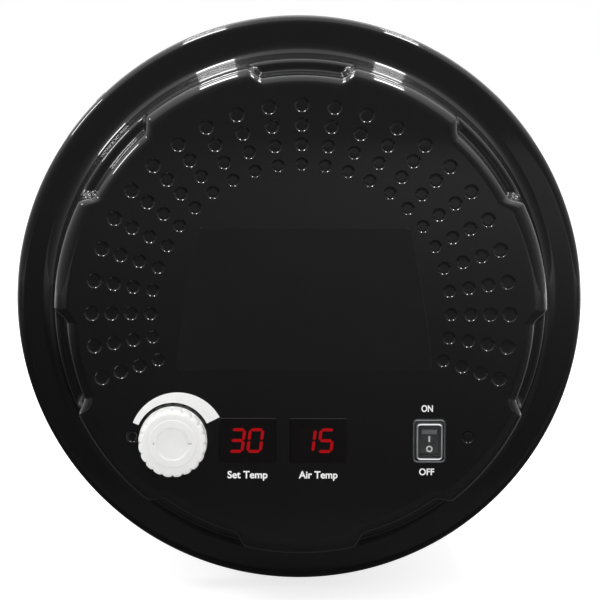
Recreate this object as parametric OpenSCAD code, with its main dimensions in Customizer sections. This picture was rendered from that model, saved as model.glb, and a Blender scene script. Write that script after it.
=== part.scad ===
// Round infrared space heater head, oil fired and fan driven.
// The heater's axis runs along Y: controls at the rear (-Y), heat outlet at the front (+Y).
// The cradles stand on Z = 0, and the origin is the middle of the footprint's box.

/* [Main sizes] */
// Overall length from the knob's face to the guard
heater_len = 381; // [372:1:400]
// Outer radius of the rim
rim_r = 167; // [164:1:172]

/* [Rear cover] */
// Width of the flange between the foot of the wall and the rim
flange_w = 18.5; // [16:0.5:22]
// Height of the control panel above the flange
panel_depth = 70; // [60:1:80]
// How far the wall leans in over its height
wall_taper = 8; // [6:0.5:10]
// Rounding of the panel's edge
shoulder_r = 4.5; // [3.5:0.5:6]
// Rounding at the foot of the wall
foot_fillet = 3; // [2:0.5:5]
// Rounding of the rim
lip_r = 9; // [6:0.5:11]
// Length of the skirt in front of the flange
skirt_len = 30; // [28:1:40]
// Sheet thickness of the cover
cover_t = 1.5; // [1:0.1:2]
// Number of notches round the wall
notch_count = 7; // [3:1:9]
// Radial depth of a notch
notch_depth = 7; // [4:0.5:9]
// Half width of a notch where it is narrow, in degrees
notch_half_in = 9.3; // [7:0.1:11]
// Half width of a notch where it is wide, in degrees
notch_half_out = 12.8; // [11.5:0.1:14]
// Depth of a notch's ledge below the panel
ledge_drop = 34; // [24:1:42]
// Columns of dimples in the arch
dimple_cols = 25; // [9:2:27]
// Rows of dimples in the arch
dimple_rows = 4; // [1:1:5]
// Angle between two columns
dimple_angle = 9.09; // [8:0.01:12]
// Distance between two rows
dimple_pitch = 11.1; // [10:0.1:13]
// Radius of a dimple in the innermost row
dimple_r = 3.75; // [2.5:0.05:4]
// How much larger the dimples are from row to row
dimple_grow = 0.2; // [0:0.05:0.3]
// Depth of a dimple
dimple_depth = 1.3; // [0.8:0.1:1.6]
// Distance from the panel's edge to the outermost row
dimple_margin = 17.4; // [15:0.1:20]

/* [Controls] */
// Distance of the control row below the heater's axis
row_drop = 74.5; // [70:0.5:78]
// Sideways place of the thermostat knob
knob_x = -72.8; // [-76:0.1:-70]
// Radius of the knob
knob_r = 19.8; // [17:0.1:22]
// Height of the knob
knob_h = 17; // [14:0.5:20]
// Flutes round the knob's grip
knob_flutes = 20; // [14:1:22]
// Sideways place of the mains switch
switch_x = 73.6; // [70:0.1:76]
// Width of the switch bezel
bezel_w = 15; // [14:0.1:16]
// Height of the switch bezel
bezel_h = 21; // [20:0.1:22]
// How far the bezel stands out of the panel
bezel_t = 2; // [1.5:0.1:2.5]
// Swing of the rocker from its middle, in degrees
rocker_tilt = 9; // [6:0.5:10]
// Width of the splash boot's foot
boot_w = 19.3; // [18.8:0.1:21]
// Height of the splash boot's foot
boot_h = 25.8; // [25:0.1:28]
// Width of a display window
window_w = 32.5; // [30:0.1:35]
// Height of a display window
window_h = 25.9; // [24:0.1:28]
// Distance between the two windows
window_pitch = 40.4; // [38:0.1:42]
// Sideways place of the middle between the windows
window_mid = -10; // [-12:0.1:-8]
// How far a window stands out of the panel
window_proud = 0.8; // [0.5:0.1:1.2]
// Sideways place of the two panel screws
panel_screw_x = 95.8; // [94:0.1:98]
// Radius of the potentiometer's spindle
spindle_r = 3; // [2.5:0.1:3.2]

/* [Drum] */
// Gap between the cover's skirt and the drum, where air goes in
intake_gap = 15.5; // [12:0.5:20]
// Distance from the flange to the drum's rear edge
drum_back = 12; // [10:1:14]
// Sheet thickness of the drum
drum_t = 1.2; // [0.8:0.1:1.6]
// Height of the beads rolled into the drum
bead_h = 1.6; // [1:0.1:2.5]

/* [Fan and motor] */
// Radius of the fan
fan_r = 100; // [90:1:104]
// Radius of the fan's hub
hub_r = 20; // [17:0.5:24]
// Blades on the fan
fan_blades = 6; // [4:1:8]
// Running gap round the fan
fan_gap = 3; // [2:0.5:5]
// Radius of the motor
motor_r = 39; // [34:0.5:42]
// Length of the motor
motor_len = 56; // [50:1:58]
// Radius of the motor's shaft
shaft_r = 4; // [3:0.5:5]
// Radial clearance of a shaft in its bearing
run_clear = 0.05; // [0.02:0.01:0.08]

/* [Burner] */
// Radius of the burner tube
burner_r = 42; // [38:0.5:46]
// Radius of the combustion chamber
chamber_r = 74; // [68:1:80]
// Distance of the combustion chamber's front behind the drum's front edge
chamber_inset = 34; // [30:1:40]
// Gap between the heat shield and the drum
shield_gap = 18.8; // [17:0.1:22]
// Radius of the glowing disc
disc_r = 98; // [88:1:104]
// Radius of the feed nipple
nipple_r = 4; // [3:0.5:5]
// Length of the feed nipple outside the drum
nipple_len = 16; // [12:1:18]
// Radius of the bore that takes the mains cord
gland_bore_r = 4.25; // [3.5:0.25:5]

/* [Front] */
// Wire radius of the guard
wire_r = 1.6; // [1.2:0.1:2]
// Rings in the guard
guard_rings = 8; // [5:1:10]
// Spokes in the guard
guard_spokes = 6; // [4:1:12]
// Height of the guard's dome
guard_rise = 14; // [8:1:20]

/* [Stand] */
// Clearance of the rim above the floor
rim_clear = 5; // [3:0.5:12]
// Place of the rear cradle behind the flange
rear_cradle_z = 76; // [73:1:79]
// Distance of the front cradle behind the drum's front edge
front_cradle_inset = 67; // [62:1:74]
// Width of a cradle along the heater
cradle_w = 28; // [24:1:32]
// Half angle of the rear cradle's saddle, in degrees
rear_saddle = 16.5; // [14:0.5:20]
// Half angle of the front cradle's saddle, in degrees
front_saddle = 36.5; // [33:0.5:40]
// Sheet thickness of the cradles
cradle_t = 2.5; // [2:0.1:3]
// Sideways place of the stand bolts
bolt_x = 30; // [26:0.5:34]
// Radius of the holes for the stand bolts
bolt_r = 3.3; // [2.7:0.1:4.3]

/* [Hidden] */
$fn = 64;
round_fn = 128;
seat_gap = 0.15;
over = 1;

// Fasteners
screw_r = 1.9;
screw_head_r = 3.6;
screw_head_h = 2;
screw_hole_r = screw_r + 0.2;
small_screw_r = 1.5;
small_head_r = 2.9;

// Rear cover
wall_foot_r = rim_r - flange_w;
draft = atan(wall_taper / panel_depth);
shoulder_z = shoulder_r - panel_depth;
shoulder_c = wall_r(shoulder_z) - shoulder_r / cos(draft);
panel_flat_r = shoulder_c;
dimple_outer = panel_flat_r - dimple_margin;
recess_r = 3.7;
recess_depth = 1.6;
ledge_fillet = 2.5;
ledge_edge = 3.2;
ledge_blend = 12;
panel_screw_drop = row_drop - 2.2;

// Controls, in a frame with z out of the panel
knob_gap = 0.4;
knob_skirt = 3;
flute_r = 1.3;
flute_depth = 1.2;
knob_edge_r = 3.6;
knob_step = 0.5;
knob_face_r = knob_r - 5.3;
knob_dish_r = knob_r - 10.6;
knob_wall = 2.5;
knob_boss_r = spindle_r + 2.2;
bush_r = spindle_r + 0.9;
bush_out = 5;
pot_r = 8;
pot_len = 9;
nut_t = 2;
spindle_out = knob_gap + knob_h - 5;
window_lip = 0.8;
window_body = 2.2;
window_x = [window_mid - window_pitch / 2, window_mid + window_pitch / 2];
display_t = 6;
display_gap = 0.2;
board_t = 1.6;
display_z = -cover_t - window_body - display_gap;
board_z = display_z - display_t;
bracket_z = board_z - board_t - 5;
bracket_t = 2;
bracket_half_w = panel_screw_x + 7;
bracket_half_h = 20.5;
post_r = 2.6;
peg_r = 1.2;
body_w = bezel_w - 2;
body_h = bezel_h - 2;
body_len = 17;
well_wall = 1.1;
rocker_w = body_w - 2 * well_wall - 0.6;
rocker_pivot = -2.5;
rocker_rise = 5;
rocker_clear = 0.4;
rocker_half = (body_h / 2 - well_wall - rocker_clear - rocker_rise * sin(rocker_tilt))
    / cos(rocker_tilt);
rocker_dip = 1.4;
rocker_pin_r = 1.5;
rocker_pin_clear = 0.06;
boot_wall = 0.9;
boot_clear = 0.3;
boot_rise = rocker_rise * cos(rocker_tilt) + rocker_half * sin(rocker_tilt) + rocker_pivot + 0.6;

// Drum and the intake behind the rim
drum_r = rim_r - cover_t - intake_gap;
drum_in = drum_r - drum_t;

// Front ring and guard, which set the drum's front edge
shield_r = drum_in - shield_gap;
mirror_lap = 5;
mirror_front_r = shield_r - mirror_lap;
ring_t = 1.5;
ring_skirt = 14;
ring_lap = 2;
ring_in = mirror_front_r + ring_lap;
front_screw_r = (ring_in + drum_in) / 2;
guard_inset = 6;
guard_r = front_screw_r - guard_inset;
tab_w = 12;
tab_t = 1.5;
tab_end = 7;
guard_step = guard_r / (guard_rings - 0.2);
guard_in_r = guard_r - (guard_rings - 1) * guard_step;
dome_r = (guard_r * guard_r + guard_rise * guard_rise) / (2 * guard_rise);
spoke_r = dome_r + 1.2 * wire_r;
guard_foot = ring_t + tab_t + 0.8 * wire_r;
guard_depth = guard_foot + guard_rise - dome_r
    + (spoke_r + wire_r) * cos(asin(guard_in_r / dome_r));
rear_z = -panel_depth - knob_gap - knob_h;
front_z = rear_z + heater_len;
drum_front = front_z - guard_depth;
guard_z = drum_front + guard_foot;
dome_z = guard_z + guard_rise - dome_r;

// Brackets and grille in the air gap
bracket_back = drum_back + 2;
bracket_len = 13;
bracket_sheet = 1.5;
bracket_angle = 9;
bracket_mid = bracket_back + bracket_len / 2 + bracket_sheet / 2;
grille_z = bracket_back + bracket_len;
grille_t = 1.2;
grille_slots = 60;
grille_slot_w = 4;
grille_margin = 2.5;
rivet_h = 0.3;
corner_angles = [45, 135, 225, 315];

// Fan and motor
shroud_z = 26;
shroud_t = 1.5;
shroud_flange = 20;
shroud_screw_z = shroud_z + 14;
bell_r = 6;
throat_r = fan_r + fan_gap;
hub_z = 22;
hub_len = 20;
root_chord = 26;
tip_chord = 60;
root_camber = 3;
tip_camber = 5;
root_t = 2.4;
tip_t = 1.2;
blade_sink = 1.5;
fan_mid = hub_z + hub_len / 2;
motor_z = 58;
motor_wall = 2;
motor_front = motor_z + motor_len;
boss_r = shaft_r + 7;
bearing_r = shaft_r + 4;
bearing_len = 10;
bearing_seat = 8;
boss_out = 3;
stator_in = 20.4;
rotor_gap = 0.4;
core_z = motor_z + 14;
core_len = motor_len - 28;
coil_len = 7;
coil_half = 5;
stator_slots = 12;
stator_slot_in = 3;
stator_slot_len = 8;
stator_slot_w = 5;
shaft_back = hub_z - 4;
spider_t = 2;
spider_z = motor_z - spider_t;
arm_w = 16;
arm_reach = throat_r + bell_r + 14;
arm_post_r = 4;

// Bulkhead and burner
bulkhead_z = 140;
bulkhead_t = 1.5;
bulkhead_flange = 12;
bulkhead_screw_z = bulkhead_z + bulkhead_flange / 2;
burner_t = 1.5;
burner_back = bulkhead_z - 14;
burner_front = bulkhead_z + 26;
burner_flange = 8;
burner_in = burner_r - burner_t;
nozzle_spider_z = bulkhead_z - 10;
nozzle_spider_t = 2;
carrier_r = 6;
carrier_back = bulkhead_z - 21;
carrier_front = bulkhead_z + 2;
nozzle_len = 14;
electrode_x = 12;
electrode_y = -12;
insulator_r = 4;
insulator_back = carrier_back - 1;
insulator_front = carrier_front + 12;
rod_r = 1.2;
diffuser_z = carrier_front + 7;
diffuser_t = 1.2;
pipe_z = carrier_back + 3.5;
pipe_r = 2;
pump_w = 36;
pump_y = drum_in - 62.8;
pump_len = 58;
pump_inlet_z = bulkhead_z - 28;
coil_box_w = 58;
coil_box_h = 44;
coil_box_len = 50;
coil_box_y = 31.8 - drum_in;
sensor_x = burner_r + 18;
sensor_r = 6;
cutout_x = -burner_r - 32;
cutout_r = 8;
gland_z = 60;
gland_r = 8;
gland_hex_r = 12;
gland_out = 17;
gland_in = 8;
probe_r = 2.5;
probe_len = 26;

// Chamber, shield, disc and reflector
sheet_t = 1.2;
chamber_gap = 10.5;
chamber_z = bulkhead_z + bulkhead_t + chamber_gap;
chamber_front = drum_front - chamber_inset;
chamber_lip = 7;
post_ring_r = chamber_r - 14;
chamber_post_r = 4;
disc_post_r = 3;
disc_post_ring = chamber_r + 3.5;
disc_gap = 10;
disc_z = chamber_front + sheet_t + disc_gap;
disc_dome = 9;
disc_wave = 1.2;
disc_wave_pitch = 14;
shield_t = 0.8;
shield_lip = 12;
reflector_t = 0.8;
mirror_back_z = chamber_front - 14;
mirror_back_r = chamber_r + chamber_lip + 2;

// Stand
axis_h = rim_r + rim_clear;
y_rim = -rear_z - heater_len / 2;
front_cradle_z = drum_front - front_cradle_inset;
foot_t = 3;
web_hole_r = 10;
web_hole_margin = 5;
bead_half = 5;
bead_back = 14;
bead_lead = 23;
bead_mids = [bulkhead_z - bead_back, front_cradle_z - bead_lead];
rear_screw_share = 0.6;
front_screw_share = 0.75;
foot_hole_share = 0.75;

// Points of an arc round c, from angle a to angle b
function arc(c, r, a, b, n = 6) =
    [for (i = [0:n]) c + r * [cos(a + (b - a) * i / n), sin(a + (b - a) * i / n)]];

// Points of a rectangle with round corners, centred
function rounded_rect(w, h, r, n = 4) =
    [for (q = [0:3]) each arc([(q % 3 == 0 ? 1 : -1) * (w / 2 - r), (q < 2 ? 1 : -1) * (h / 2 - r)],
        r, 90 * q, 90 * q + 90, n)];

// Frame of the heater: z along its axis from the cover's flange, x right and y down from behind
module in_heater() {
    translate([0, y_rim, axis_h]) rotate([-90, 0, 0]) children();
}

// Frame of a control: z out of the panel, x right and y up
module on_panel(x, drop) {
    in_heater() translate([x, drop, -panel_depth]) rotate([180, 0, 0]) children();
}

// Places a child with its z pointing away from the axis at an angle
module radial(angle, r, z) {
    rotate([0, 0, angle]) translate([r, 0, z]) rotate([0, 90, 0]) children();
}

module turned(points) {
    rotate_extrude($fn = round_fn) polygon(points);
}

module ring(r_out, r_in, z, len) {
    translate([0, 0, z]) difference() {
        cylinder(r = r_out, h = len, $fn = round_fn);
        translate([0, 0, -over]) cylinder(r = r_in, h = len + 2 * over, $fn = round_fn);
    }
}

// Pan-head screw: the head sits on z = 0 and the shank runs down
module screw(r, len, head_r, head_h) {
    translate([0, 0, -len]) cylinder(r = r, h = len + head_h / 2);
    rotate_extrude() polygon(concat([[0, 0], [head_r, 0], [head_r, head_h * 0.4]],
        arc([head_r - head_h * 0.6, head_h * 0.4], head_h * 0.6, 30, 90, 3), [[0, head_h]]));
}

// Radius of the cover's wall at a height, and of its inner face when o is the sheet
function wall_r(z, o = 0) = wall_foot_r + z * tan(draft) - o / cos(draft);

// Half section of the solid inside the cover's face, moved in by o
function dish_outline(o) = concat(
    [[0, -panel_depth + o]],
    arc([shoulder_c, shoulder_z], shoulder_r - o, -90, -draft),
    arc([wall_r(-foot_fillet) + foot_fillet / cos(draft), -foot_fillet], foot_fillet + o,
        180 - draft, 90),
    arc([rim_r - lip_r, lip_r], lip_r - o, -90, 0),
    [[rim_r - o, skirt_len + o], [0, skirt_len + o]]);

// Half section of what a notch takes away, with its round shoulder and its ledge
function notch_section(o) =
    let(ledge_z = ledge_drop - panel_depth, fillet_z = ledge_z - ledge_fillet,
        edge_z = ledge_z + ledge_edge, lean = draft + ledge_blend,
        edge = arc([wall_r(edge_z) - ledge_edge / cos(draft), edge_z], ledge_edge - o, -90, -lean, 3),
        far = edge[3] + 3 * ledge_edge * [sin(lean), cos(lean)])
    concat(
        [[far[0], -panel_depth - over], [shoulder_c - notch_depth, -panel_depth - over]],
        arc([shoulder_c - notch_depth, shoulder_z], shoulder_r - o, -90, -draft),
        arc([wall_r(fillet_z) - notch_depth + ledge_fillet / cos(draft), fillet_z],
            ledge_fillet + o, 180 - draft, 90, 3),
        edge, [far]);

// Plan of a notch with slanted ends, as seen from behind with the notch at the top
function notch_wedge(o) =
    let(r1 = shoulder_c - notch_depth + shoulder_r, r2 = r1 + notch_depth,
        a = r1 * [sin(notch_half_in), -cos(notch_half_in)],
        b = r2 * [sin(notch_half_out), -cos(notch_half_out)],
        u = (b - a) / norm(b - a), out = o * [-u[1], u[0]], far = b + 2 * flange_w * u,
        side = [0.8 * a + out, a + out, b + out, far + out])
    concat(side, [for (i = [3:-1:0]) [-side[i][0], side[i][1]]]);

module notches(o) {
    intersection() {
        turned(notch_section(o));
        for (i = [0:notch_count - 1])
            rotate([0, 0, i * 360 / notch_count]) translate([0, 0, -panel_depth - 2 * over])
                linear_extrude(panel_depth) polygon(notch_wedge(o));
    }
}

// One pressed dimple: a cone with a flat floor
module dimple(r, depth, o) {
    translate([0, 0, -panel_depth + o - over])
        cylinder(r1 = r + o / 2 + over / 3, r2 = r + o / 2 - depth / 3, h = depth + over);
}

module dimples(o) {
    for (row = [0:dimple_rows - 1], col = [0:dimple_cols - 1])
        rotate([0, 0, (col - (dimple_cols - 1) / 2) * dimple_angle])
            translate([0, -dimple_outer + (dimple_rows - 1 - row) * dimple_pitch, 0])
                dimple(dimple_r + row * dimple_grow, dimple_depth, o);
    for (side = [-1, 1])
        translate([side * panel_screw_x, panel_screw_drop, 0]) dimple(recess_r, recess_depth, o);
}

module dish(o) {
    difference() {
        turned(dish_outline(o));
        notches(o);
        dimples(o);
    }
}

// Openings in the panel for the knob, the windows, the switch and the two screws
module panel_cutouts() {
    depth = recess_depth + 2 * cover_t;
    translate([0, 0, -panel_depth - over]) {
        translate([knob_x, row_drop, 0]) cylinder(r = bush_r + seat_gap, h = depth);
        for (x = window_x) translate([x, row_drop, 0]) linear_extrude(depth)
            square([window_w - 2 * window_lip, window_h - 2 * window_lip], center = true);
        translate([switch_x, row_drop, 0]) linear_extrude(depth)
            square([body_w + 2 * seat_gap, body_h + 2 * seat_gap], center = true);
        for (side = [-1, 1]) translate([side * panel_screw_x, panel_screw_drop, 0])
            cylinder(r = small_screw_r + seat_gap, h = depth);
    }
}

module rear_cover() {
    color("#141517") in_heater() difference() {
        dish(0);
        dish(cover_t);
        panel_cutouts();
        for (a = corner_angles) radial(a, rim_r - 2 * cover_t, bracket_mid)
            cylinder(r = screw_hole_r, h = 4 * cover_t);
    }
}

// Channel brackets that hold the cover on the drum across the air gap
module cover_brackets() {
    r0 = drum_r + seat_gap;
    r1 = rim_r - cover_t - seat_gap;
    s = bracket_sheet;
    color("#3a3c40") in_heater() difference() {
        for (a = corner_angles) rotate([0, 0, a - bracket_angle / 2]) rotate_extrude(angle = bracket_angle)
            translate([0, bracket_back]) polygon([[r0, 0], [r1, 0], [r1, bracket_len],
                [r1 - s, bracket_len], [r1 - s, s], [r0 + s, s], [r0 + s, bracket_len],
                [r0, bracket_len]]);
        for (a = corner_angles) radial(a, drum_r - over, bracket_mid)
            cylinder(r = screw_hole_r, h = intake_gap + 2 * over);
    }
}

module cover_rivets() {
    color("#1b1c1e") in_heater() for (a = corner_angles) radial(a, rim_r, bracket_mid)
        screw(screw_r, cover_t + bracket_sheet + over, screw_head_r, rivet_h);
}

// Flat slotted ring that closes the air gap behind the rim
module intake_grille() {
    slot_len = intake_gap - 2 * grille_margin;
    color("#2a2c2f") in_heater() difference() {
        ring(rim_r - cover_t - seat_gap, drum_r + seat_gap, grille_z, grille_t);
        for (i = [0:grille_slots - 1]) rotate([0, 0, i * 360 / grille_slots])
            translate([drum_r + grille_margin, -grille_slot_w / 2, grille_z - over])
                cube([slot_len, grille_slot_w, grille_t + 2 * over]);
    }
}

// Moulded tray behind the panel, held by the two panel screws
module control_bracket() {
    boss_top = -cover_t - recess_depth;
    mid = row_drop - panel_screw_drop;
    color("#25262a") on_panel(0, row_drop) difference() {
        union() {
            translate([0, 0, bracket_z - bracket_t]) linear_extrude(bracket_t)
                polygon(rounded_rect(2 * bracket_half_w, 2 * bracket_half_h, 6));
            for (side = [-1, 1]) translate([side * panel_screw_x, mid, bracket_z - over])
                cylinder(r = 5, h = boss_top - bracket_z + over);
            for (p = board_posts()) translate([p[0], p[1], bracket_z - over]) {
                cylinder(r = post_r, h = board_z - board_t - bracket_z + over);
                cylinder(r = peg_r, h = board_z - bracket_z + over);
            }
        }
        translate([switch_x, 0, bracket_z - 2 * bracket_t]) linear_extrude(4 * bracket_t)
            square([body_w + 4, body_h + 4], center = true);
        translate([knob_x, 0, bracket_z - 2 * bracket_t]) cylinder(r = pot_r + 2, h = 4 * bracket_t);
        for (side = [-1, 1]) translate([side * panel_screw_x, mid, bracket_z - 2 * bracket_t])
            cylinder(r = small_screw_r + seat_gap, h = boss_top - bracket_z + 4 * bracket_t);
    }
}

module panel_screws() {
    color("#17181a") for (side = [-1, 1])
        on_panel(side * panel_screw_x, panel_screw_drop) translate([0, 0, -recess_depth])
            screw(small_screw_r, -bracket_z - recess_depth, small_head_r, recess_depth - 0.1);
}

// Places of the control board's four posts
function board_posts() = [for (x = [window_x[0] - window_w / 2, window_x[1] + window_w / 2],
    y = [-1, 1]) [x + 1, y * (window_h / 2 + 2)]];

module control_board() {
    w = window_pitch + window_w + 12;
    color("#1f5a3a") on_panel(0, row_drop) difference() {
        translate([window_mid + 1, 0, board_z - board_t]) linear_extrude(board_t)
            polygon(rounded_rect(w, window_h + 12, 2));
        for (p = board_posts()) translate([p[0], p[1], board_z - 2 * board_t])
            cylinder(r = peg_r + 0.1, h = 3 * board_t);
    }
}

// Smoked window with a bevelled face, pushed through the panel
module window(x) {
    w = window_w - 2 * window_lip - 2 * seat_gap;
    h = window_h - 2 * window_lip - 2 * seat_gap;
    bevel = window_proud * 0.8;
    color("#0b0b0d") on_panel(x, row_drop) {
        translate([0, 0, -cover_t - window_body]) linear_extrude(cover_t + window_body + window_proud / 2)
            square([w, h], center = true);
        linear_extrude(window_proud - bevel) square([window_w, window_h], center = true);
        translate([0, 0, window_proud - bevel]) linear_extrude(bevel, slices = 1,
            scale = [1 - 2 * bevel / window_w, 1 - 2 * bevel / window_h], $fn = 4)
            square([window_w, window_h], center = true);
    }
}

module set_window() {
    window(window_x[0]);
}

module room_window() {
    window(window_x[1]);
}

// Two-digit display block that stands on the control board
module display(x) {
    color("#d8d8d4") on_panel(x, row_drop) translate([0, 0, board_z]) linear_extrude(display_t)
        polygon(rounded_rect(window_w - 6, window_h - 6, 0.6, 2));
}

module set_display() {
    display(window_x[0]);
}

module room_display() {
    display(window_x[1]);
}

// Body behind the panel with three tags, and a bush that the spindle turns in
module potentiometer() {
    color("#9a9da1") on_panel(knob_x, row_drop) difference() {
        union() {
            translate([0, 0, -cover_t - pot_len]) cylinder(r = pot_r, h = pot_len);
            translate([0, 0, -cover_t - over]) cylinder(r = bush_r, h = cover_t + over + bush_out);
            for (x = [-4, 0, 4]) translate([x - 0.8, -pot_r - 5, -cover_t - 5]) cube([1.6, 8, 0.6]);
        }
        translate([0, 0, -cover_t - pot_len + 2])
            cylinder(r = spindle_r + run_clear, h = pot_len + cover_t + bush_out);
    }
}

module potentiometer_nut() {
    color("#b5b8bb") on_panel(knob_x, row_drop) difference() {
        cylinder(r = bush_r + 2.4, h = nut_t, $fn = 6);
        translate([0, 0, -over]) cylinder(r = bush_r + 0.1, h = nut_t + 2 * over);
    }
}

module potentiometer_spindle() {
    back = -cover_t - pot_len + 2.3;
    color("#c4c6c8") on_panel(knob_x, row_drop) translate([0, 0, back])
        cylinder(r = spindle_r, h = spindle_out - back);
}

// Fluted knob: smooth skirt, straight grip, round edge and a dished face
module thermostat_knob() {
    top = knob_gap + knob_h;
    color("#f4f4f2") on_panel(knob_x, row_drop) difference() {
        turned(concat(
            [[0, knob_gap], [knob_r, knob_gap]],
            arc([knob_r - knob_edge_r, top - knob_step - knob_edge_r], knob_edge_r, 0, 90),
            [[knob_face_r + 0.4, top - knob_step], [knob_face_r, top], [knob_dish_r + 0.4, top],
             [knob_dish_r, top - knob_step], [0, top - 3 * knob_step]]));
        difference() {
            translate([0, 0, -over]) cylinder(r = knob_r - knob_wall - 1, h = knob_h - 4);
            translate([0, 0, knob_gap + bush_out]) cylinder(r = knob_boss_r, h = knob_h);
        }
        cylinder(r = spindle_r + run_clear, h = spindle_out + 0.2);
        for (i = [0:knob_flutes - 1]) rotate([0, 0, i * 360 / knob_flutes - 90])
            translate([knob_r + flute_r - flute_depth, 0, knob_gap + knob_skirt])
                cylinder(r = flute_r, h = knob_h);
    }
}

// Snap-in switch body with a bezel and a well for the rocker
module switch_housing() {
    well = -rocker_pivot + 4.6;
    color("#161719") on_panel(switch_x, row_drop) difference() {
        union() {
            linear_extrude(bezel_t) polygon(rounded_rect(bezel_w, bezel_h, 0.8, 2));
            translate([0, 0, -body_len]) linear_extrude(body_len + over)
                square([body_w, body_h], center = true);
        }
        translate([0, 0, -well]) linear_extrude(well + bezel_t + over)
            square([body_w - 2 * well_wall, body_h - 2 * well_wall], center = true);
        translate([-body_w, 0, rocker_pivot]) rotate([0, 90, 0])
            cylinder(r = rocker_pin_r + rocker_pin_clear, h = 2 * body_w);
    }
}

module switch_terminals() {
    color("#c9a24a") on_panel(switch_x, row_drop) for (y = [-1, 1])
        translate([-2.4, y * body_h / 4 - 0.4, -body_len - 8]) cube([4.8, 0.8, 8]);
}

// Rocker pressed at its upper end (on), on a cross pin
module switch_rocker() {
    half = rocker_half;
    color("#1d1e20") on_panel(switch_x, row_drop) translate([0, 0, rocker_pivot])
        rotate([-rocker_tilt, 0, 0]) {
            translate([-rocker_w / 2, 0, 0]) rotate([90, 0, 90]) linear_extrude(rocker_w)
                polygon(concat([[half, rocker_rise]],
                    [for (i = [1:7]) let(y = half * (1 - i / 4))
                        [y, rocker_rise - rocker_dip * (1 - pow(y / half, 2))]],
                    [[-half, rocker_rise], [-half + 0.4, 1.5], [-3, -2.2], [3, -2.2],
                     [half - 0.4, 1.5]]));
            translate([-body_w / 2 + 0.2, 0, 0]) rotate([0, 90, 0])
                cylinder(r = rocker_pin_r, h = body_w - 0.4);
        }
}

// Clear splash boot: a flange on the panel and a thin dome over the bezel
module switch_boot() {
    inner_w = bezel_w + 2 * boot_clear;
    inner_h = bezel_h + 2 * boot_clear;
    taper = [0.92, 0.94];
    color("#8a8f94", 0.4) on_panel(switch_x, row_drop) difference() {
        union() {
            linear_extrude(boot_wall) polygon(rounded_rect(boot_w, boot_h, 2.4));
            translate([0, 0, boot_wall]) linear_extrude(boot_rise, scale = taper, slices = 1, $fn = 4)
                polygon(rounded_rect(inner_w + 2 * boot_wall, inner_h + 2 * boot_wall, 1.8));
        }
        translate([0, 0, -over]) linear_extrude(bezel_t + over + boot_clear)
            square([inner_w, inner_h], center = true);
        translate([0, 0, bezel_t]) linear_extrude(boot_rise - bezel_t)
            square([inner_w - 1.6, inner_h - 1.6], center = true);
    }
}

// Height of the rolled beads on the drum
function bead(z) = bead_h * max([for (m = bead_mids)
    abs(z - m) < bead_half ? 0.5 + 0.5 * cos(180 * (z - m) / bead_half) : 0]);

module drum_shell() {
    zs = concat([drum_back], [for (m = bead_mids) each [for (i = [-4:4]) m + bead_half * i / 4]],
        [drum_front]);
    color("#23252a") in_heater() difference() {
        turned(concat([for (z = zs) [drum_r + bead(z), z]],
            [for (i = [len(zs) - 1:-1:0]) [drum_in + bead(zs[i]), zs[i]]]));
        for (p = drum_screw_places()) radial(p[0], drum_in - over, p[1])
            cylinder(r = screw_hole_r, h = drum_t + 2 * over);
        radial(90, drum_in - over, gland_z) cylinder(r = gland_r + 0.1, h = drum_t + 3 * over);
        radial(90, drum_in - over, pump_inlet_z) cylinder(r = nipple_r + 1.2, h = drum_t + 3 * over);
    }
}

// Angle, place along the axis and radius under the head of each screw in the drum
function drum_screw_places() = concat(
    [for (a = corner_angles) [a, bracket_mid, drum_r + bracket_sheet + seat_gap]],
    [for (a = corner_angles) [a, shroud_screw_z, drum_r]],
    [for (a = corner_angles) [a, bulkhead_screw_z, drum_r]],
    [for (a = corner_angles) [a, drum_front - ring_skirt / 2, drum_r + ring_t + seat_gap]],
    [for (s = [-1, 1]) [90 + s * rear_saddle * rear_screw_share,
        rear_cradle_z + cradle_w * foot_hole_share, drum_r + cradle_t + seat_gap]],
    [for (s = [-1, 1]) [90 + s * front_saddle * front_screw_share,
        front_cradle_z + cradle_w * foot_hole_share, drum_r + cradle_t + seat_gap]]);

module drum_screws() {
    color("#2b2d30") in_heater() for (p = drum_screw_places())
        radial(p[0], p[2], p[1]) screw(screw_r, p[2] - drum_in + 3, screw_head_r, screw_head_h);
}

// Ring plate with a bell mouth round the fan
module fan_shroud() {
    outer = drum_in - seat_gap;
    t = shroud_t;
    z = shroud_z;
    c = [throat_r + bell_r, z + bell_r];
    color("#6f7378") in_heater() difference() {
        turned(concat([[outer, z], [outer, z + shroud_flange], [outer - t, z + shroud_flange],
                [outer - t, z + t]],
            arc(c, bell_r - t, 270, 180), [[throat_r + t, z + 14], [throat_r, z + 14]],
            arc(c, bell_r, 180, 270)));
        for (a = corner_angles) radial(a, outer - 2 * t, shroud_screw_z)
            cylinder(r = screw_hole_r, h = 4 * t);
    }
}

// Three-armed bracket that carries the motor from the shroud
module motor_bracket() {
    color("#5c6066") in_heater() difference() {
        union() {
            ring(motor_r - 2, boss_r + 0.4, spider_z, spider_t);
            for (a = [30, 150, 270]) rotate([0, 0, a]) {
                translate([boss_r + 5, -arm_w / 2, spider_z])
                    cube([arm_reach - boss_r - 5 + 6, arm_w, spider_t]);
                translate([arm_reach, 0, shroud_z + shroud_t])
                    cylinder(r = arm_post_r, h = spider_z - shroud_z - shroud_t + over);
            }
        }
        translate([0, 0, spider_z - over]) cylinder(r = boss_r + 0.4, h = spider_t + 2 * over);
    }
}

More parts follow.
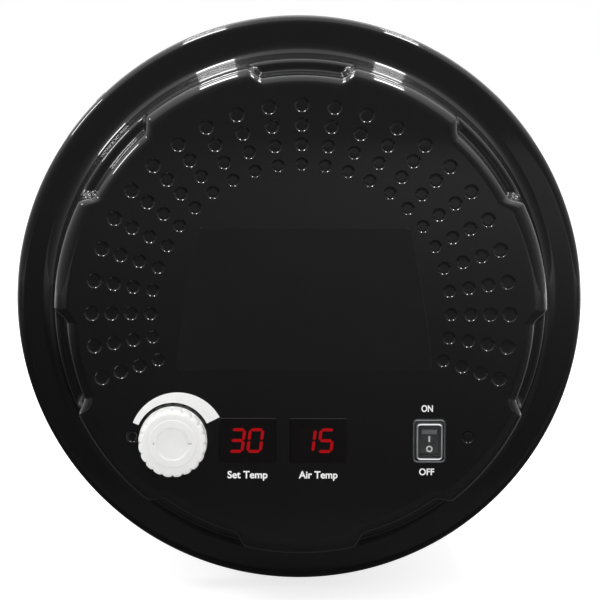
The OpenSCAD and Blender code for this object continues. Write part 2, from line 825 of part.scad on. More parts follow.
// Drawn motor can with a boss for the rear bearing
module motor_can() {
    w = motor_wall;
    z = motor_z;
    color("#777b80") in_heater() turned([[bearing_r, z - boss_out], [boss_r, z - boss_out],
        [boss_r, z], [motor_r - 1.5 * w, z], [motor_r, z + 1.5 * w], [motor_r, motor_front],
        [motor_r - w, motor_front], [motor_r - w, z + 2 * w], [motor_r - 2 * w, z + w], [boss_r, z + w],
        [boss_r, z + bearing_seat], [bearing_r, z + bearing_seat]]);
}

module motor_endcap() {
    z = motor_front;
    color("#85898e") in_heater() turned([[bearing_r, z - bearing_seat], [boss_r, z - bearing_seat],
        [boss_r, z], [motor_r, z], [motor_r, z + motor_wall], [boss_r + boss_out, z + boss_out],
        [0, z + boss_out], [0, z + motor_wall / 2], [bearing_r, z + motor_wall / 2]]);
}

module motor_bearings() {
    color("#b08d57") in_heater() {
        ring(bearing_r, shaft_r + run_clear, motor_z + bearing_seat - bearing_len, bearing_len);
        ring(bearing_r, shaft_r + run_clear, motor_front - bearing_seat, bearing_seat + motor_wall / 4);
    }
}

// Laminated ring with slots for the windings
module motor_stator() {
    outer = motor_r - motor_wall - seat_gap;
    color("#4d5054") in_heater() difference() {
        ring(outer, stator_in, core_z, core_len);
        for (i = [0:stator_slots - 1]) rotate([0, 0, i * 360 / stator_slots])
            translate([stator_in + stator_slot_in, -stator_slot_w / 2, core_z - over])
                cube([stator_slot_len, stator_slot_w, core_len + 2 * over]);
    }
}

module motor_windings() {
    mid = (stator_in + motor_r - motor_wall) / 2;
    color("#b5651d") in_heater() for (z = [core_z - coil_len, core_z + core_len])
        ring(mid + coil_half, mid - coil_half, z, coil_len);
}

module motor_rotor() {
    color("#5a5d61") in_heater() ring(stator_in - rotor_gap, shaft_r, core_z, core_len);
}

module motor_shaft() {
    color("#c8cacc") in_heater() translate([0, 0, shaft_back])
        cylinder(r = shaft_r, h = motor_front - shaft_back);
}

// Outline of a blade's section at a share t of its span: chord, pitch and camber follow t
function blade_loop(t, n = 6) =
    let(r0 = hub_r - blade_sink, r = r0 + t * (fan_r - r0), pitch = 46 - 22 * t,
        chord = root_chord + (tip_chord - root_chord) * t,
        camber = root_camber + (tip_camber - root_camber) * t, thick = root_t + (tip_t - root_t) * t,
        line = [for (i = [0:n]) i / n - 0.5],
        points = concat([for (s = line) [s, 0.5]], [for (i = [n:-1:0]) [line[i], -0.5]]))
    [for (p = points) let(h = camber * (1 - 4 * p[0] * p[0]) + p[1] * thick,
        u = p[0] * chord * cos(pitch) - h * sin(pitch), w = p[0] * chord * sin(pitch) + h * cos(pitch),
        a = u / r * 180 / PI) [r * cos(a), r * sin(a), fan_mid + w]];

module fan_blade(spans = 6) {
    loops = [for (j = [0:spans]) blade_loop(j / spans)];
    n = len(loops[0]);
    sides = [for (j = [0:spans - 1], i = [0:n - 1]) let(k = (i + 1) % n)
        each [[j * n + i, j * n + k, (j + 1) * n + i], [j * n + k, (j + 1) * n + k, (j + 1) * n + i]]];
    caps = [for (i = [1:n - 2]) each [[0, i + 1, i], [spans * n, spans * n + i, spans * n + i + 1]]];
    polyhedron([for (l = loops) each l], concat(sides, caps));
}

module fan_impeller() {
    color("#d0d3d6") in_heater() difference() {
        union() {
            turned([[0, hub_z], [hub_r - 2, hub_z], [hub_r, hub_z + 2], [hub_r, hub_z + hub_len],
                [0, hub_z + hub_len]]);
            for (i = [0:fan_blades - 1]) rotate([0, 0, i * 360 / fan_blades]) fan_blade();
        }
        translate([0, 0, hub_z - over]) cylinder(r = shaft_r, h = hub_len + 2 * over);
    }
}

// Plate across the drum that carries the burner, the pump and the transformer
module bulkhead() {
    outer = drum_in - seat_gap;
    t = bulkhead_t;
    z = bulkhead_z;
    inner_ring = (burner_r + burner_flange + shield_r - shield_lip) / 2 + 14;
    outer_ring = (shield_r + outer) / 2;
    color("#83878c") in_heater() difference() {
        turned([[burner_r + seat_gap, z], [outer, z], [outer, z + bulkhead_flange],
            [outer - t, z + bulkhead_flange], [outer - t, z + t], [burner_r + seat_gap, z + t]]);
        for (i = [0:11]) rotate([0, 0, 15 + i * 30]) translate([inner_ring, 0, z - over])
            cylinder(r = 7, h = t + 2 * over);
        for (i = [0:23]) rotate([0, 0, 7.5 + i * 15]) translate([outer_ring, 0, z - over])
            cylinder(r = 4, h = t + 2 * over);
        translate([sensor_x, 0, z - over]) cylinder(r = sensor_r + seat_gap, h = t + 2 * over);
        for (a = corner_angles) radial(a, outer - 2 * t, bulkhead_screw_z)
            cylinder(r = screw_hole_r, h = 4 * t);
    }
}

module burner_tube() {
    z = bulkhead_z;
    color("#9b9ea2") in_heater() turned([[burner_in, burner_back], [burner_r, burner_back],
        [burner_r, z - burner_t], [burner_r + burner_flange, z - burner_t], [burner_r + burner_flange, z],
        [burner_r, z], [burner_r, burner_front], [burner_in, burner_front]]);
}

// Three-armed plate that centres the nozzle and clamps the two insulators
module nozzle_spider() {
    t = nozzle_spider_t;
    z = nozzle_spider_z;
    outer = burner_in - seat_gap;
    color("#8d9095") in_heater() difference() {
        union() {
            ring(outer, outer - 3, z, t);
            translate([0, 0, z]) cylinder(r = carrier_r + 4, h = t);
            for (a = [90, 210, 330]) rotate([0, 0, a]) translate([0, -4, z]) cube([outer - 1, 8, t]);
            for (s = [-1, 1]) translate([s * electrode_x, electrode_y, z]) cylinder(r = 7, h = t);
        }
        translate([0, 0, z - over]) {
            cylinder(r = carrier_r + seat_gap, h = t + 2 * over);
            for (s = [-1, 1]) translate([s * electrode_x, electrode_y, 0])
                cylinder(r = insulator_r + seat_gap, h = t + 2 * over);
        }
    }
}

module nozzle_carrier() {
    color("#b8923f") in_heater() difference() {
        translate([0, 0, carrier_back]) cylinder(r = carrier_r, h = carrier_front - carrier_back);
        translate([0, 0, pipe_z]) rotate([-90, 0, 0]) cylinder(r = pipe_r + 0.1, h = 2 * carrier_r);
    }
}

module spray_nozzle() {
    color("#c8a552") in_heater() {
        translate([0, 0, carrier_front]) cylinder(r = 8, h = nozzle_len * 0.55, $fn = 6);
        turned([[0, carrier_front + nozzle_len * 0.5], [6, carrier_front + nozzle_len * 0.5],
            [6, carrier_front + nozzle_len * 0.8], [3, carrier_front + nozzle_len],
            [0, carrier_front + nozzle_len]]);
    }
}

// Slotted disc that swirls the air round the spray
module flame_diffuser() {
    t = diffuser_t;
    color("#7d8085") in_heater() translate([0, 0, diffuser_z]) difference() {
        cylinder(r = burner_in - seat_gap, h = t, $fn = round_fn);
        translate([0, 0, -over]) cylinder(r = 9, h = t + 2 * over);
        for (s = [-1, 1]) translate([s * electrode_x, electrode_y, -over])
            cylinder(r = insulator_r + seat_gap, h = t + 2 * over);
        for (i = [0:9]) rotate([0, 0, 18 + 36 * i]) translate([23, -1.5, -over])
            rotate([0, 0, 20]) cube([13, 3, t + 2 * over]);
    }
}

module electrode_insulators() {
    color("#efe9dc") in_heater() for (s = [-1, 1]) translate([s * electrode_x, electrode_y, insulator_back])
        difference() {
            cylinder(r = insulator_r, h = insulator_front - insulator_back);
            translate([0, 0, 8]) cylinder(r = rod_r + 0.1, h = insulator_front);
        }
}

// Steel rods whose tips lean in over the nozzle
module ignition_electrodes() {
    tip = [2.5 - electrode_x, 6, 6];
    color("#a9acb0") in_heater() for (s = [-1, 1]) mirror([s < 0 ? 1 : 0, 0, 0])
        translate([electrode_x, electrode_y, 0]) {
            translate([0, 0, insulator_back + 10])
                cylinder(r = rod_r, h = insulator_front - insulator_back - 7);
            translate([0, 0, insulator_front + 3]) {
                sphere(r = rod_r);
                rotate([0, acos(tip[2] / norm(tip)), atan2(tip[1], tip[0])])
                    cylinder(r = rod_r, h = norm(tip));
            }
        }
}

// High-voltage leads between the transformer and the insulators
module ignition_leads() {
    y0 = coil_box_y + coil_box_h;
    color("#7a1f1a") in_heater() for (s = [-1, 1])
        translate([s * electrode_x, y0, pipe_z]) rotate([-90, 0, 0])
            cylinder(r = 2.5, h = electrode_y - insulator_r - y0);
}

// Potted ignition transformer on the bulkhead
module ignition_transformer() {
    z0 = bulkhead_z - coil_box_len;
    color("#1c1d20") in_heater() translate([0, coil_box_y + coil_box_h / 2, z0]) {
        linear_extrude(coil_box_len) polygon(rounded_rect(coil_box_w, coil_box_h, 4));
        translate([0, 0, coil_box_len - 2]) linear_extrude(2)
            polygon(rounded_rect(coil_box_w + 18, coil_box_h * 0.6, 3));
    }
}

module flame_sensor() {
    color("#33363a") in_heater() translate([sensor_x, 0, bulkhead_z]) {
        translate([0, 0, -22]) cylinder(r = sensor_r + 2.5, h = 22);
        cylinder(r = sensor_r, h = bulkhead_t + 6);
    }
}

module overheat_cutout() {
    color("#cfcac0") in_heater() translate([cutout_x, 0, bulkhead_z]) {
        translate([0, 0, -9]) cylinder(r = cutout_r, h = 9);
        for (y = [-3.4, 3.4]) translate([-3, y - 0.4, -16]) cube([6, 0.8, 8]);
        translate([-cutout_r - 6, -4, -1]) cube([2 * cutout_r + 12, 8, 1]);
    }
}

// Air-temperature probe clipped to the rear of the shroud
module room_probe() {
    r = (throat_r + bell_r + drum_in) / 2;
    color("#b9bcc0") in_heater() rotate([0, 0, 20]) translate([r, 0, shroud_z]) {
        translate([-4, -5, -1.2]) cube([8, 10, 1.2]);
        translate([-1, -5, -4]) cube([2, 10, 3]);
        translate([0, -probe_len / 2, -4 - probe_r * 0.6]) rotate([-90, 0, 0])
            cylinder(r = probe_r, h = probe_len);
    }
}

// Electromagnetic pump: a square coil block, a round core tube and a foot on the bulkhead
module fuel_pump() {
    mid = pump_y + pump_w / 2;
    z0 = bulkhead_z - pump_len;
    color("#8a6d3b") in_heater() difference() {
        translate([0, mid, z0]) {
            translate([0, 0, 10]) linear_extrude(pump_len - 10) polygon(rounded_rect(pump_w, pump_w, 4));
            translate([0, 0, -6]) cylinder(r = 11, h = pump_len);
            translate([0, 0, pump_len - 2]) linear_extrude(2)
                polygon(rounded_rect(pump_w + 20, pump_w * 0.6, 3));
        }
        translate([0, pump_y - over, pipe_z]) rotate([-90, 0, 0]) cylinder(r = pipe_r + 0.1, h = 6);
        translate([0, pump_y + pump_w + over, pump_inlet_z]) rotate([90, 0, 0])
            cylinder(r = nipple_r + 0.1, h = 7);
    }
}

module fuel_pipe() {
    y0 = carrier_r * 0.5;
    color("#b87333") in_heater() translate([0, y0, pipe_z]) rotate([-90, 0, 0]) difference() {
        cylinder(r = pipe_r, h = pump_y + 4 - y0);
        translate([0, 0, -over]) cylinder(r = pipe_r * 0.6, h = pump_y + 4 + over);
    }
}

// Hose nipple that takes the feed hose from below, with its hex and washer under the drum
module feed_nipple() {
    y0 = pump_y + pump_w - 5;
    y1 = drum_r + nipple_len;
    color("#c2a24e") in_heater() translate([0, 0, pump_inlet_z]) rotate([-90, 0, 0]) difference() {
        union() {
            translate([0, 0, y0]) cylinder(r = nipple_r, h = y1 - y0);
            translate([0, 0, drum_in - 5.2]) cylinder(r = nipple_r + 4, h = 5, $fn = 6);
            translate([0, 0, drum_in - 0.2]) cylinder(r = nipple_r + 1, h = drum_t + 0.4);
        }
        translate([0, 0, y0 - over]) cylinder(r = nipple_r * 0.6, h = y1 - y0 + 2 * over);
    }
}

// Threaded gland that takes the mains cord from below
module cable_gland() {
    color("#1a1b1d") in_heater() translate([0, 0, gland_z]) rotate([-90, 0, 0]) difference() {
        union() {
            translate([0, 0, drum_in - gland_in]) cylinder(r = gland_r, h = gland_in + drum_t + over);
            translate([0, 0, drum_r + 0.2]) cylinder(r = gland_hex_r, h = 5, $fn = 6);
            turned([[0, drum_r + 4], [gland_r + 2, drum_r + 4], [gland_r + 2, drum_r + gland_out - 5],
                [gland_bore_r + 2, drum_r + gland_out], [0, drum_r + gland_out]]);
        }
        translate([0, 0, drum_in - gland_in - over])
            cylinder(r = gland_bore_r, h = drum_t + gland_in + gland_out + 2 * over);
    }
}

module gland_nut() {
    color("#1f2022") in_heater() translate([0, 0, gland_z]) rotate([-90, 0, 0]) difference() {
        translate([0, 0, drum_in - 5.7]) cylinder(r = gland_r + 4, h = 5, $fn = 6);
        translate([0, 0, drum_in - 6 - over]) cylinder(r = gland_r + 0.1, h = 6 + over);
    }
}

// Drawn chamber: rear wall round the burner tube, drum wall and turned-out lip
module combustion_chamber() {
    t = sheet_t;
    z = chamber_z;
    r = chamber_r;
    color("#7a7672") in_heater() difference() {
        turned(concat([[burner_r + 0.3, z]], arc([r - 6, z + 6], 6, -90, 0),
            [[r, chamber_front], [r + chamber_lip, chamber_front], [r + chamber_lip, chamber_front + t],
             [r - t, chamber_front + t]],
            arc([r - 6, z + 6], 6 - t, 0, -90), [[burner_r + 0.3, z + t]]));
        translate([sensor_x, 0, z - over]) cylinder(r = sensor_r - 1, h = t + 2 * over);
    }
}

module chamber_posts() {
    z = bulkhead_z + bulkhead_t;
    color("#96999d") in_heater() for (a = [30, 150, 270]) rotate([0, 0, a])
        translate([post_ring_r, 0, z]) cylinder(r = chamber_post_r, h = chamber_z - z);
}

// Height of the glowing disc's face, domed and rippled
function disc_face(r) = disc_z + disc_dome * (1 - pow(r / disc_r, 2))
    - disc_wave * (1 - cos(360 * (disc_r - r) / disc_wave_pitch)) / 2;

module radiant_disc() {
    steps = 49;
    rs = [for (i = [0:steps]) disc_r * i / steps];
    color("#b4532a") in_heater() turned(concat([for (r = rs) [r, disc_face(r)]],
        [for (i = [steps:-1:0]) [rs[i], disc_face(rs[i]) + sheet_t]]));
}

module disc_posts() {
    z = chamber_front + sheet_t;
    r = disc_post_ring;
    top = min(disc_face(r - disc_post_r), disc_face(r), disc_face(r + disc_post_r)) - 0.1;
    color("#96999d") in_heater() for (a = [90, 210, 330]) rotate([0, 0, a])
        translate([r, 0, z]) cylinder(r = disc_post_r, h = top - z);
}

module heat_shield() {
    z = bulkhead_z + bulkhead_t;
    t = shield_t;
    front = drum_front - reflector_t;
    color("#a5a8ab") in_heater() turned([[shield_r - shield_lip, z], [shield_r, z], [shield_r, front],
        [shield_r - t, front], [shield_r - t, z + t], [shield_r - shield_lip, z + t]]);
}

// Polished dish from the chamber's lip to the front ring
module reflector() {
    n = 12;
    front = drum_front - reflector_t;
    t = reflector_t;
    line = [for (i = [0:n]) let(s = i / n)
        [mirror_back_r + (mirror_front_r - mirror_back_r) * sqrt(s),
         mirror_back_z + (front - mirror_back_z) * s]];
    outer = drum_in - 2;
    color("#d7d9db") in_heater() difference() {
        turned(concat(line, [[mirror_front_r, front + t], [outer, front + t], [outer, front]],
            [for (i = [n:-1:0]) line[i] + [t, 0]]));
        for (a = corner_angles) rotate([0, 0, a]) translate([front_screw_r, 0, front - over])
            cylinder(r = screw_hole_r, h = t + 2 * over);
    }
}

// Spun ring over the drum's front edge, with a rolled inner edge
module front_ring() {
    z = drum_front;
    r0 = drum_r + seat_gap;
    color("#1e2023") in_heater() difference() {
        turned(concat([[r0, z - ring_skirt], [r0 + ring_t, z - ring_skirt]],
            arc([r0, z], ring_t, 0, 90, 3),
            arc([ring_in + ring_t, z + ring_t], ring_t, 0, 270, 9), [[r0, z]]));
        for (a = corner_angles) radial(a, drum_r - over, z - ring_skirt / 2)
            cylinder(r = screw_hole_r, h = ring_t + 3 * over);
        for (a = corner_angles) rotate([0, 0, a]) translate([front_screw_r, 0, z - over])
            cylinder(r = screw_hole_r, h = ring_t + 2 * over);
    }
}

module front_screws() {
    z = drum_front + ring_t + tab_t;
    color("#b2b5b8") in_heater() for (a = corner_angles) rotate([0, 0, a]) translate([front_screw_r, 0, z])
        screw(screw_r, ring_t + tab_t + 4, screw_head_r, screw_head_h);
}

// Domed guard: concentric wires on arched spokes, with four tabs
module front_guard() {
    half = asin(guard_r / dome_r);
    color("#c3c6c9") in_heater() difference() {
        union() {
            for (i = [0:guard_rings - 1]) let(r = guard_r - i * guard_step)
                rotate_extrude($fn = round_fn)
                    translate([r, dome_z + sqrt(dome_r * dome_r - r * r)]) circle(r = wire_r, $fn = 16);
            for (i = [0:guard_spokes - 1]) rotate([0, 0, 45 + i * 360 / guard_spokes])
                translate([0, 0, dome_z]) rotate([90, 0, 0]) rotate([0, 0, 90 - half])
                    rotate_extrude(angle = half - asin(guard_in_r / dome_r))
                        translate([spoke_r, 0]) circle(r = wire_r, $fn = 16);
            for (a = corner_angles) rotate([0, 0, a])
                translate([guard_r, -tab_w / 2, drum_front + ring_t])
                    cube([front_screw_r - guard_r + tab_end, tab_w, tab_t]);
        }
        for (a = corner_angles) rotate([0, 0, a])
            translate([front_screw_r, 0, drum_front + ring_t - over])
                cylinder(r = screw_hole_r, h = tab_t + 2 * over);
    }
}

// Pressed cradle: saddle under the drum, upright web and a foot flange with bolt holes
module cradle(z, saddle, share, holes) {
    r0 = drum_r + seat_gap;
    r1 = r0 + cradle_t;
    half = r1 * sin(saddle) + cradle_t;
    side = r1 * [sin(saddle), cos(saddle)];
    mid = z + cradle_w * 0.4;
    color("#17191b") in_heater() difference() {
        union() {
            rotate([0, 0, 90 - saddle]) rotate_extrude(angle = 2 * saddle, $fn = round_fn)
                translate([r0, z]) square([cradle_t, cradle_w]);
            translate([0, 0, mid]) linear_extrude(cradle_t) difference() {
                polygon([[-half, axis_h - foot_t / 2], [half, axis_h - foot_t / 2], side,
                    [-side[0], side[1]]]);
                circle(r = r0 + cradle_t / 2, $fn = round_fn);
            }
            translate([-half, axis_h - foot_t, z]) cube([2 * half, foot_t, cradle_w]);
        }
        for (s = [-1, 1]) translate([s * bolt_x, axis_h - foot_t - over, z + cradle_w * foot_hole_share])
            rotate([-90, 0, 0]) cylinder(r = bolt_r, h = foot_t + 2 * over);
        for (s = holes)
            translate([s * half * 0.62, axis_h - foot_t - web_hole_r - web_hole_margin, mid - over])
                cylinder(r = web_hole_r, h = cradle_t + 2 * over);
        for (s = [-1, 1]) radial(90 + s * saddle * share, r0 - over, z + cradle_w * foot_hole_share)
            cylinder(r = screw_hole_r, h = cradle_t + 2 * over);
    }
}

module rear_cradle() {
    cradle(rear_cradle_z, rear_saddle, rear_screw_share, []);
}

module front_cradle() {
    cradle(front_cradle_z, front_saddle, front_screw_share, [-1, 1]);
}

rear_cover();
cover_brackets();
cover_rivets();
intake_grille();
control_bracket();
panel_screws();
control_board();
set_window();
room_window();
set_display();
room_display();
potentiometer();
potentiometer_nut();
potentiometer_spindle();
thermostat_knob();
switch_housing();
switch_terminals();
switch_rocker();
switch_boot();
drum_shell();
drum_screws();
fan_shroud();
motor_bracket();
motor_can();
motor_endcap();
motor_bearings();
motor_stator();
motor_windings();
motor_rotor();
motor_shaft();
fan_impeller();
bulkhead();
burner_tube();
nozzle_spider();
nozzle_carrier();
spray_nozzle();
flame_diffuser();
electrode_insulators();
ignition_electrodes();
ignition_leads();
ignition_transformer();
flame_sensor();
overheat_cutout();
room_probe();
fuel_pump();
fuel_pipe();
feed_nipple();
cable_gland();
gland_nut();
combustion_chamber();
chamber_posts();
radiant_disc();
disc_posts();
heat_shield();
reflector();
front_ring();
front_screws();
front_guard();
rear_cradle();
front_cradle();
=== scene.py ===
"""Looks of a round infrared heater head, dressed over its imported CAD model."""
import math

import bpy
import numpy as np
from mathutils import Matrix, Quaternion, Vector


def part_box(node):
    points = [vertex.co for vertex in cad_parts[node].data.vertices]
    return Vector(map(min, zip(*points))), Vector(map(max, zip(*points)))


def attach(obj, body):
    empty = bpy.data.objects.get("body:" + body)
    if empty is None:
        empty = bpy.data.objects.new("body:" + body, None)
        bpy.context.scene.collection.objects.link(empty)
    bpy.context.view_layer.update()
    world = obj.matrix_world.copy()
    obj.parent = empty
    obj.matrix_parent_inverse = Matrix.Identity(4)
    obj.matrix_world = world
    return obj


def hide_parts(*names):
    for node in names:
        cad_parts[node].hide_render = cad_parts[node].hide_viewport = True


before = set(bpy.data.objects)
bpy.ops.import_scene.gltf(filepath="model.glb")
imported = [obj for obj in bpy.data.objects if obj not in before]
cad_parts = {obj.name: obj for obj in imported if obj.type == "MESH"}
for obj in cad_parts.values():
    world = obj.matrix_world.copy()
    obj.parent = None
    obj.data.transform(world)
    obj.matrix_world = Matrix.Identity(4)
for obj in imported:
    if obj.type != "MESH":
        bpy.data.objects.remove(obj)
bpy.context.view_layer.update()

# Rear cover: 1.5 mm steel sheet, deep drawn in one die and stoved with gloss black enamel. The first
# piece is its wall and rim, with seven notches that stop at a ledge half way down the wall. Sizes are in
# millimetres and degrees, and heights count from the flange, so the panel is at minus PANEL_DEPTH.
PANEL_DEPTH = 70.0
SHEET = 1.5
INNER_EDGE = 127.0
WALL_FOOT = 144.0
WALL_TAPER = 3.5
SHOULDER = 8.0
FOOT_FILLET = 7.5
LIP = 4.6
RIM = 167.0
FLARE = 0.4
FLARE_END = 9.0
SKIRT_END = 30.0
NOTCHES = 7
NOTCH_FLOOR = 9.2
NOTCH_END = 13.4
NOTCH_DEPTH = 7.0
NOTCH_SHOULDER = 6.0
LEDGE = -36.0
LEDGE_FILLET = 2.5
LEDGE_ROUND = 3.2
cover_low, cover_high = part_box("rear_cover")
AXIS_UP = 500.0 * (cover_low.z + cover_high.z)
FLANGE_Y = 1000.0 * cover_low.y + PANEL_DEPTH


def in_place(x, up, along):
    """Millimetres right of the axis, above it and along it from the flange, to metres in the row frame."""
    x, up, along = np.broadcast_arrays(x, up, along)
    return np.stack([x, FLANGE_Y + along, AXIS_UP + up], -1) / 1000.0


def arc(middle, radius, start, stop, count):
    """Points at equal angles on a circle about middle, from start to stop degrees."""
    turn = np.radians(np.linspace(start, stop, count))
    return np.stack([middle[0] + radius * np.cos(turn), middle[1] + radius * np.sin(turn)], -1)


def line(start, stop, count):
    """Points at equal steps from start towards stop, without the last one."""
    share = np.linspace(0.0, 1.0, count, endpoint=False)[:, None]
    return (1 - share) * np.array(start) + share * np.array(stop)


def add_mesh(name, points, faces, smooth=True, normals=None):
    """Object from points and faces, turned about if the signed volume of its faces is negative."""
    volume = 0.0
    for corners in {len(face) for face in faces}:
        loop = np.array([face for face in faces if len(face) == corners])
        for third in range(2, corners):
            a, b, c = points[loop[:, 0]], points[loop[:, third - 1]], points[loop[:, third]]
            volume += np.einsum("ij,ij->", a, np.cross(b, c))
    if volume < 0:
        faces = [face[::-1] for face in faces]
    mesh = bpy.data.meshes.new(name)
    mesh.from_pydata(points.tolist(), [], faces)
    mesh.polygons.foreach_set("use_smooth", np.full(len(faces), smooth))
    if normals is not None:
        mesh.normals_split_custom_set_from_vertices(normals.tolist())
    piece = bpy.data.objects.new(name, mesh)
    bpy.context.scene.collection.objects.link(piece)
    return piece


def skin(name, points, ring=False, first=False, last=False, normals=None, smooth=True):
    """Quads over a grid of points whose columns wrap round. ring also joins the last row to the first,
    and first and last close those rows with a flat cap."""
    rows, columns = points.shape[:2]
    index = np.arange(rows * columns).reshape(rows, columns)
    faces = []
    if first:
        faces.append(index[0, ::-1].tolist())
    if last:
        faces.append(index[-1].tolist())
    if ring:
        index = np.vstack([index, index[:1]])
    index = np.hstack([index, index[:, :1]])
    quads = np.stack([index[:-1, :-1], index[:-1, 1:], index[1:, 1:], index[1:, :-1]], -1)
    faces += quads.reshape(-1, 4).tolist()
    flat = None if normals is None else normals.reshape(-1, 3)
    return add_mesh(name, points.reshape(-1, 3), faces, smooth, flat)


def smoothstep(low, high, value):
    """0 below low and 1 above high, easing between them as 3t^2 - 2t^3."""
    share = np.clip((value - low) / (high - low), 0.0, 1.0)
    return share * share * (3 - 2 * share)


lean = math.degrees(math.atan(WALL_TAPER / PANEL_DEPTH))


def wall_at(z, inset=0.0):
    """Radius and height of the leaning wall at height z."""
    return (WALL_FOOT + z * WALL_TAPER / PANEL_DEPTH - inset, z)


def beside_wall(z, radius, inset=0.0):
    """Middle at height z of a circle that touches the wall from outside, or from inside if negative."""
    return (wall_at(z, inset)[0] + radius / math.cos(math.radians(lean)), z)


def shoulder(radius, inset):
    """Flat edge of the panel and the round over onto the wall, for a wall set in by inset."""
    middle = beside_wall(radius - PANEL_DEPTH, -radius, inset)
    flat = line((INNER_EDGE, -PANEL_DEPTH), (middle[0], -PANEL_DEPTH), 5)
    return [flat, arc(middle, radius, -90, -lean, 13)]


# The plain and the notched profile have as many points in each stretch, so that they can be mixed: stops
# are the heights on the plain wall where the notched one's stretches end. Where a line meets an arc it
# starts or stops up to 1.2 mm short of it.
wall_top = SHOULDER - PANEL_DEPTH + 1
ledge_end = LEDGE + LEDGE_ROUND * (1 - math.sin(math.radians(lean)))
fillet_middle = beside_wall(LEDGE - LEDGE_FILLET, LEDGE_FILLET, NOTCH_DEPTH)
edge_middle = beside_wall(LEDGE + LEDGE_ROUND, -LEDGE_ROUND)
foot_middle = beside_wall(-FOOT_FILLET, FOOT_FILLET)
lip_middle = (RIM - FLARE - LIP, LIP)
stops = (wall_top, -44.0, -40.0, -37.0, ledge_end)
plain_wall = [line(wall_at(a), wall_at(b), n) for a, b, n in zip(stops[:-1], stops[1:], (7, 7, 3, 9))]
notched_wall = [
    line(wall_at(wall_top, NOTCH_DEPTH), wall_at(fillet_middle[1], NOTCH_DEPTH), 7),
    arc(fillet_middle, LEDGE_FILLET, 180 - lean, 90, 7),
    line((fillet_middle[0] + 0.4, LEDGE), (edge_middle[0], LEDGE), 3),
    arc(edge_middle, LEDGE_ROUND, -90, -lean, 9),
]
lower_part = [
    line(wall_at(ledge_end + 1), wall_at(-FOOT_FILLET - 0.4), 7),
    arc(foot_middle, FOOT_FILLET, 180 - lean, 90, 7),
    line((foot_middle[0] + 0.7, 0.0), (lip_middle[0] - 0.5, 0.0), 6),
    arc(lip_middle, LIP, -90, -6, 12),
    line((RIM - 0.8 * FLARE, LIP + 1.2), (RIM, FLARE_END), 3),
    line((RIM, FLARE_END), (RIM, SKIRT_END - 0.5), 3),
    arc((RIM - SHEET / 2, SKIRT_END - SHEET / 2), SHEET / 2, 0, 90, 5),
]
plain = np.concatenate(shoulder(SHOULDER, 0.0) + plain_wall + lower_part)
notched = np.concatenate(shoulder(NOTCH_SHOULDER, NOTCH_DEPTH) + notched_wall + lower_part)


def notch_angles():
    """Column angles in degrees: in each seventh, 24 steps over the notch's floor, 24 over each of its
    ends and 48 between two notches, counted from the notch's middle."""
    pitch = 360.0 / NOTCHES
    edges = [-NOTCH_END, -NOTCH_FLOOR, NOTCH_FLOOR, NOTCH_END, pitch - NOTCH_END]
    one = np.concatenate([np.linspace(a, b, n, endpoint=False)
                          for a, b, n in zip(edges[:-1], edges[1:], (24, 24, 24, 48))])
    return (np.arange(NOTCHES)[:, None] * pitch + one).ravel()


def pressing():
    """Plain and notched profile, mixed round the axis by a smoothstep at the ends of each notch; the
    inner face is the outer one moved in by the sheet's thickness along its normals."""
    degrees = notch_angles()
    half = 180.0 / NOTCHES
    from_notch = np.abs((degrees + half) % (2 * half) - half)
    mix = 1 - smoothstep(NOTCH_FLOOR + 0.2, NOTCH_END - 0.2, from_notch)
    turn = np.radians(degrees)
    profile = plain[:, None] + mix[None, :, None] * (notched - plain)[:, None]
    outer = in_place(profile[..., 0] * np.sin(turn), profile[..., 0] * np.cos(turn), profile[..., 1])
    along = np.gradient(outer, axis=0)
    around = np.roll(outer, -1, 1) - np.roll(outer, 1, 1)
    normal = np.cross(along, around)
    normal /= np.linalg.norm(normal, axis=2, keepdims=True)
    if normal[0, 0, 1] > 0:
        normal = -normal
    normal[:3] = (0.0, -1.0, 0.0)
    rows = np.r_[len(plain) - 3:2:-3, 0]
    inner = outer[rows] - normal[rows] * SHEET / 1000.0
    return np.concatenate([outer, inner]), np.concatenate([normal, -normal[rows]])


sheet_points, sheet_normals = pressing()
cover_pressing = skin("cover_pressing", sheet_points, ring=True, normals=sheet_normals)

# Middle of the same sheet: the flat control panel with its arch of a hundred coined dimples and the two
# sunk seats of the panel screws. It meets the pressing on the flat, where no edge shows.
ARCH_COLUMNS = 25
ARCH_ROWS = 4
ARCH_ANGLE = 9.0
ARCH_PITCH = 11.22
ARCH_RADII = 85.5 + ARCH_PITCH * np.arange(ARCH_ROWS)
ARCH_DROP = 2.0
DIMPLE_RADII = 3.75 + 0.2 * np.arange(ARCH_ROWS)
DIMPLE_DEPTH = 0.75
SEAT_OUT = 118.77
SEAT_ANGLE = 126.27
SEAT_R = 3.7
SEAT_DEPTH = 0.7
BACK_DEPTH = 3.2
PLAIN_RADII = (12, 24, 36, 48, 58, 66, 74)
CELL = 16
SIDE_STEPS = 10
FOOT_STEPS = 120
RING_REACH = np.array([0.0, 0.60, 0.78, 0.845, 0.888, 0.932, 0.975, 1.04])
RING_DEPTH = np.array([1.0, 1.0, 0.985, 0.85, 0.62, 0.387, 0.157, 0.0, 0.0])


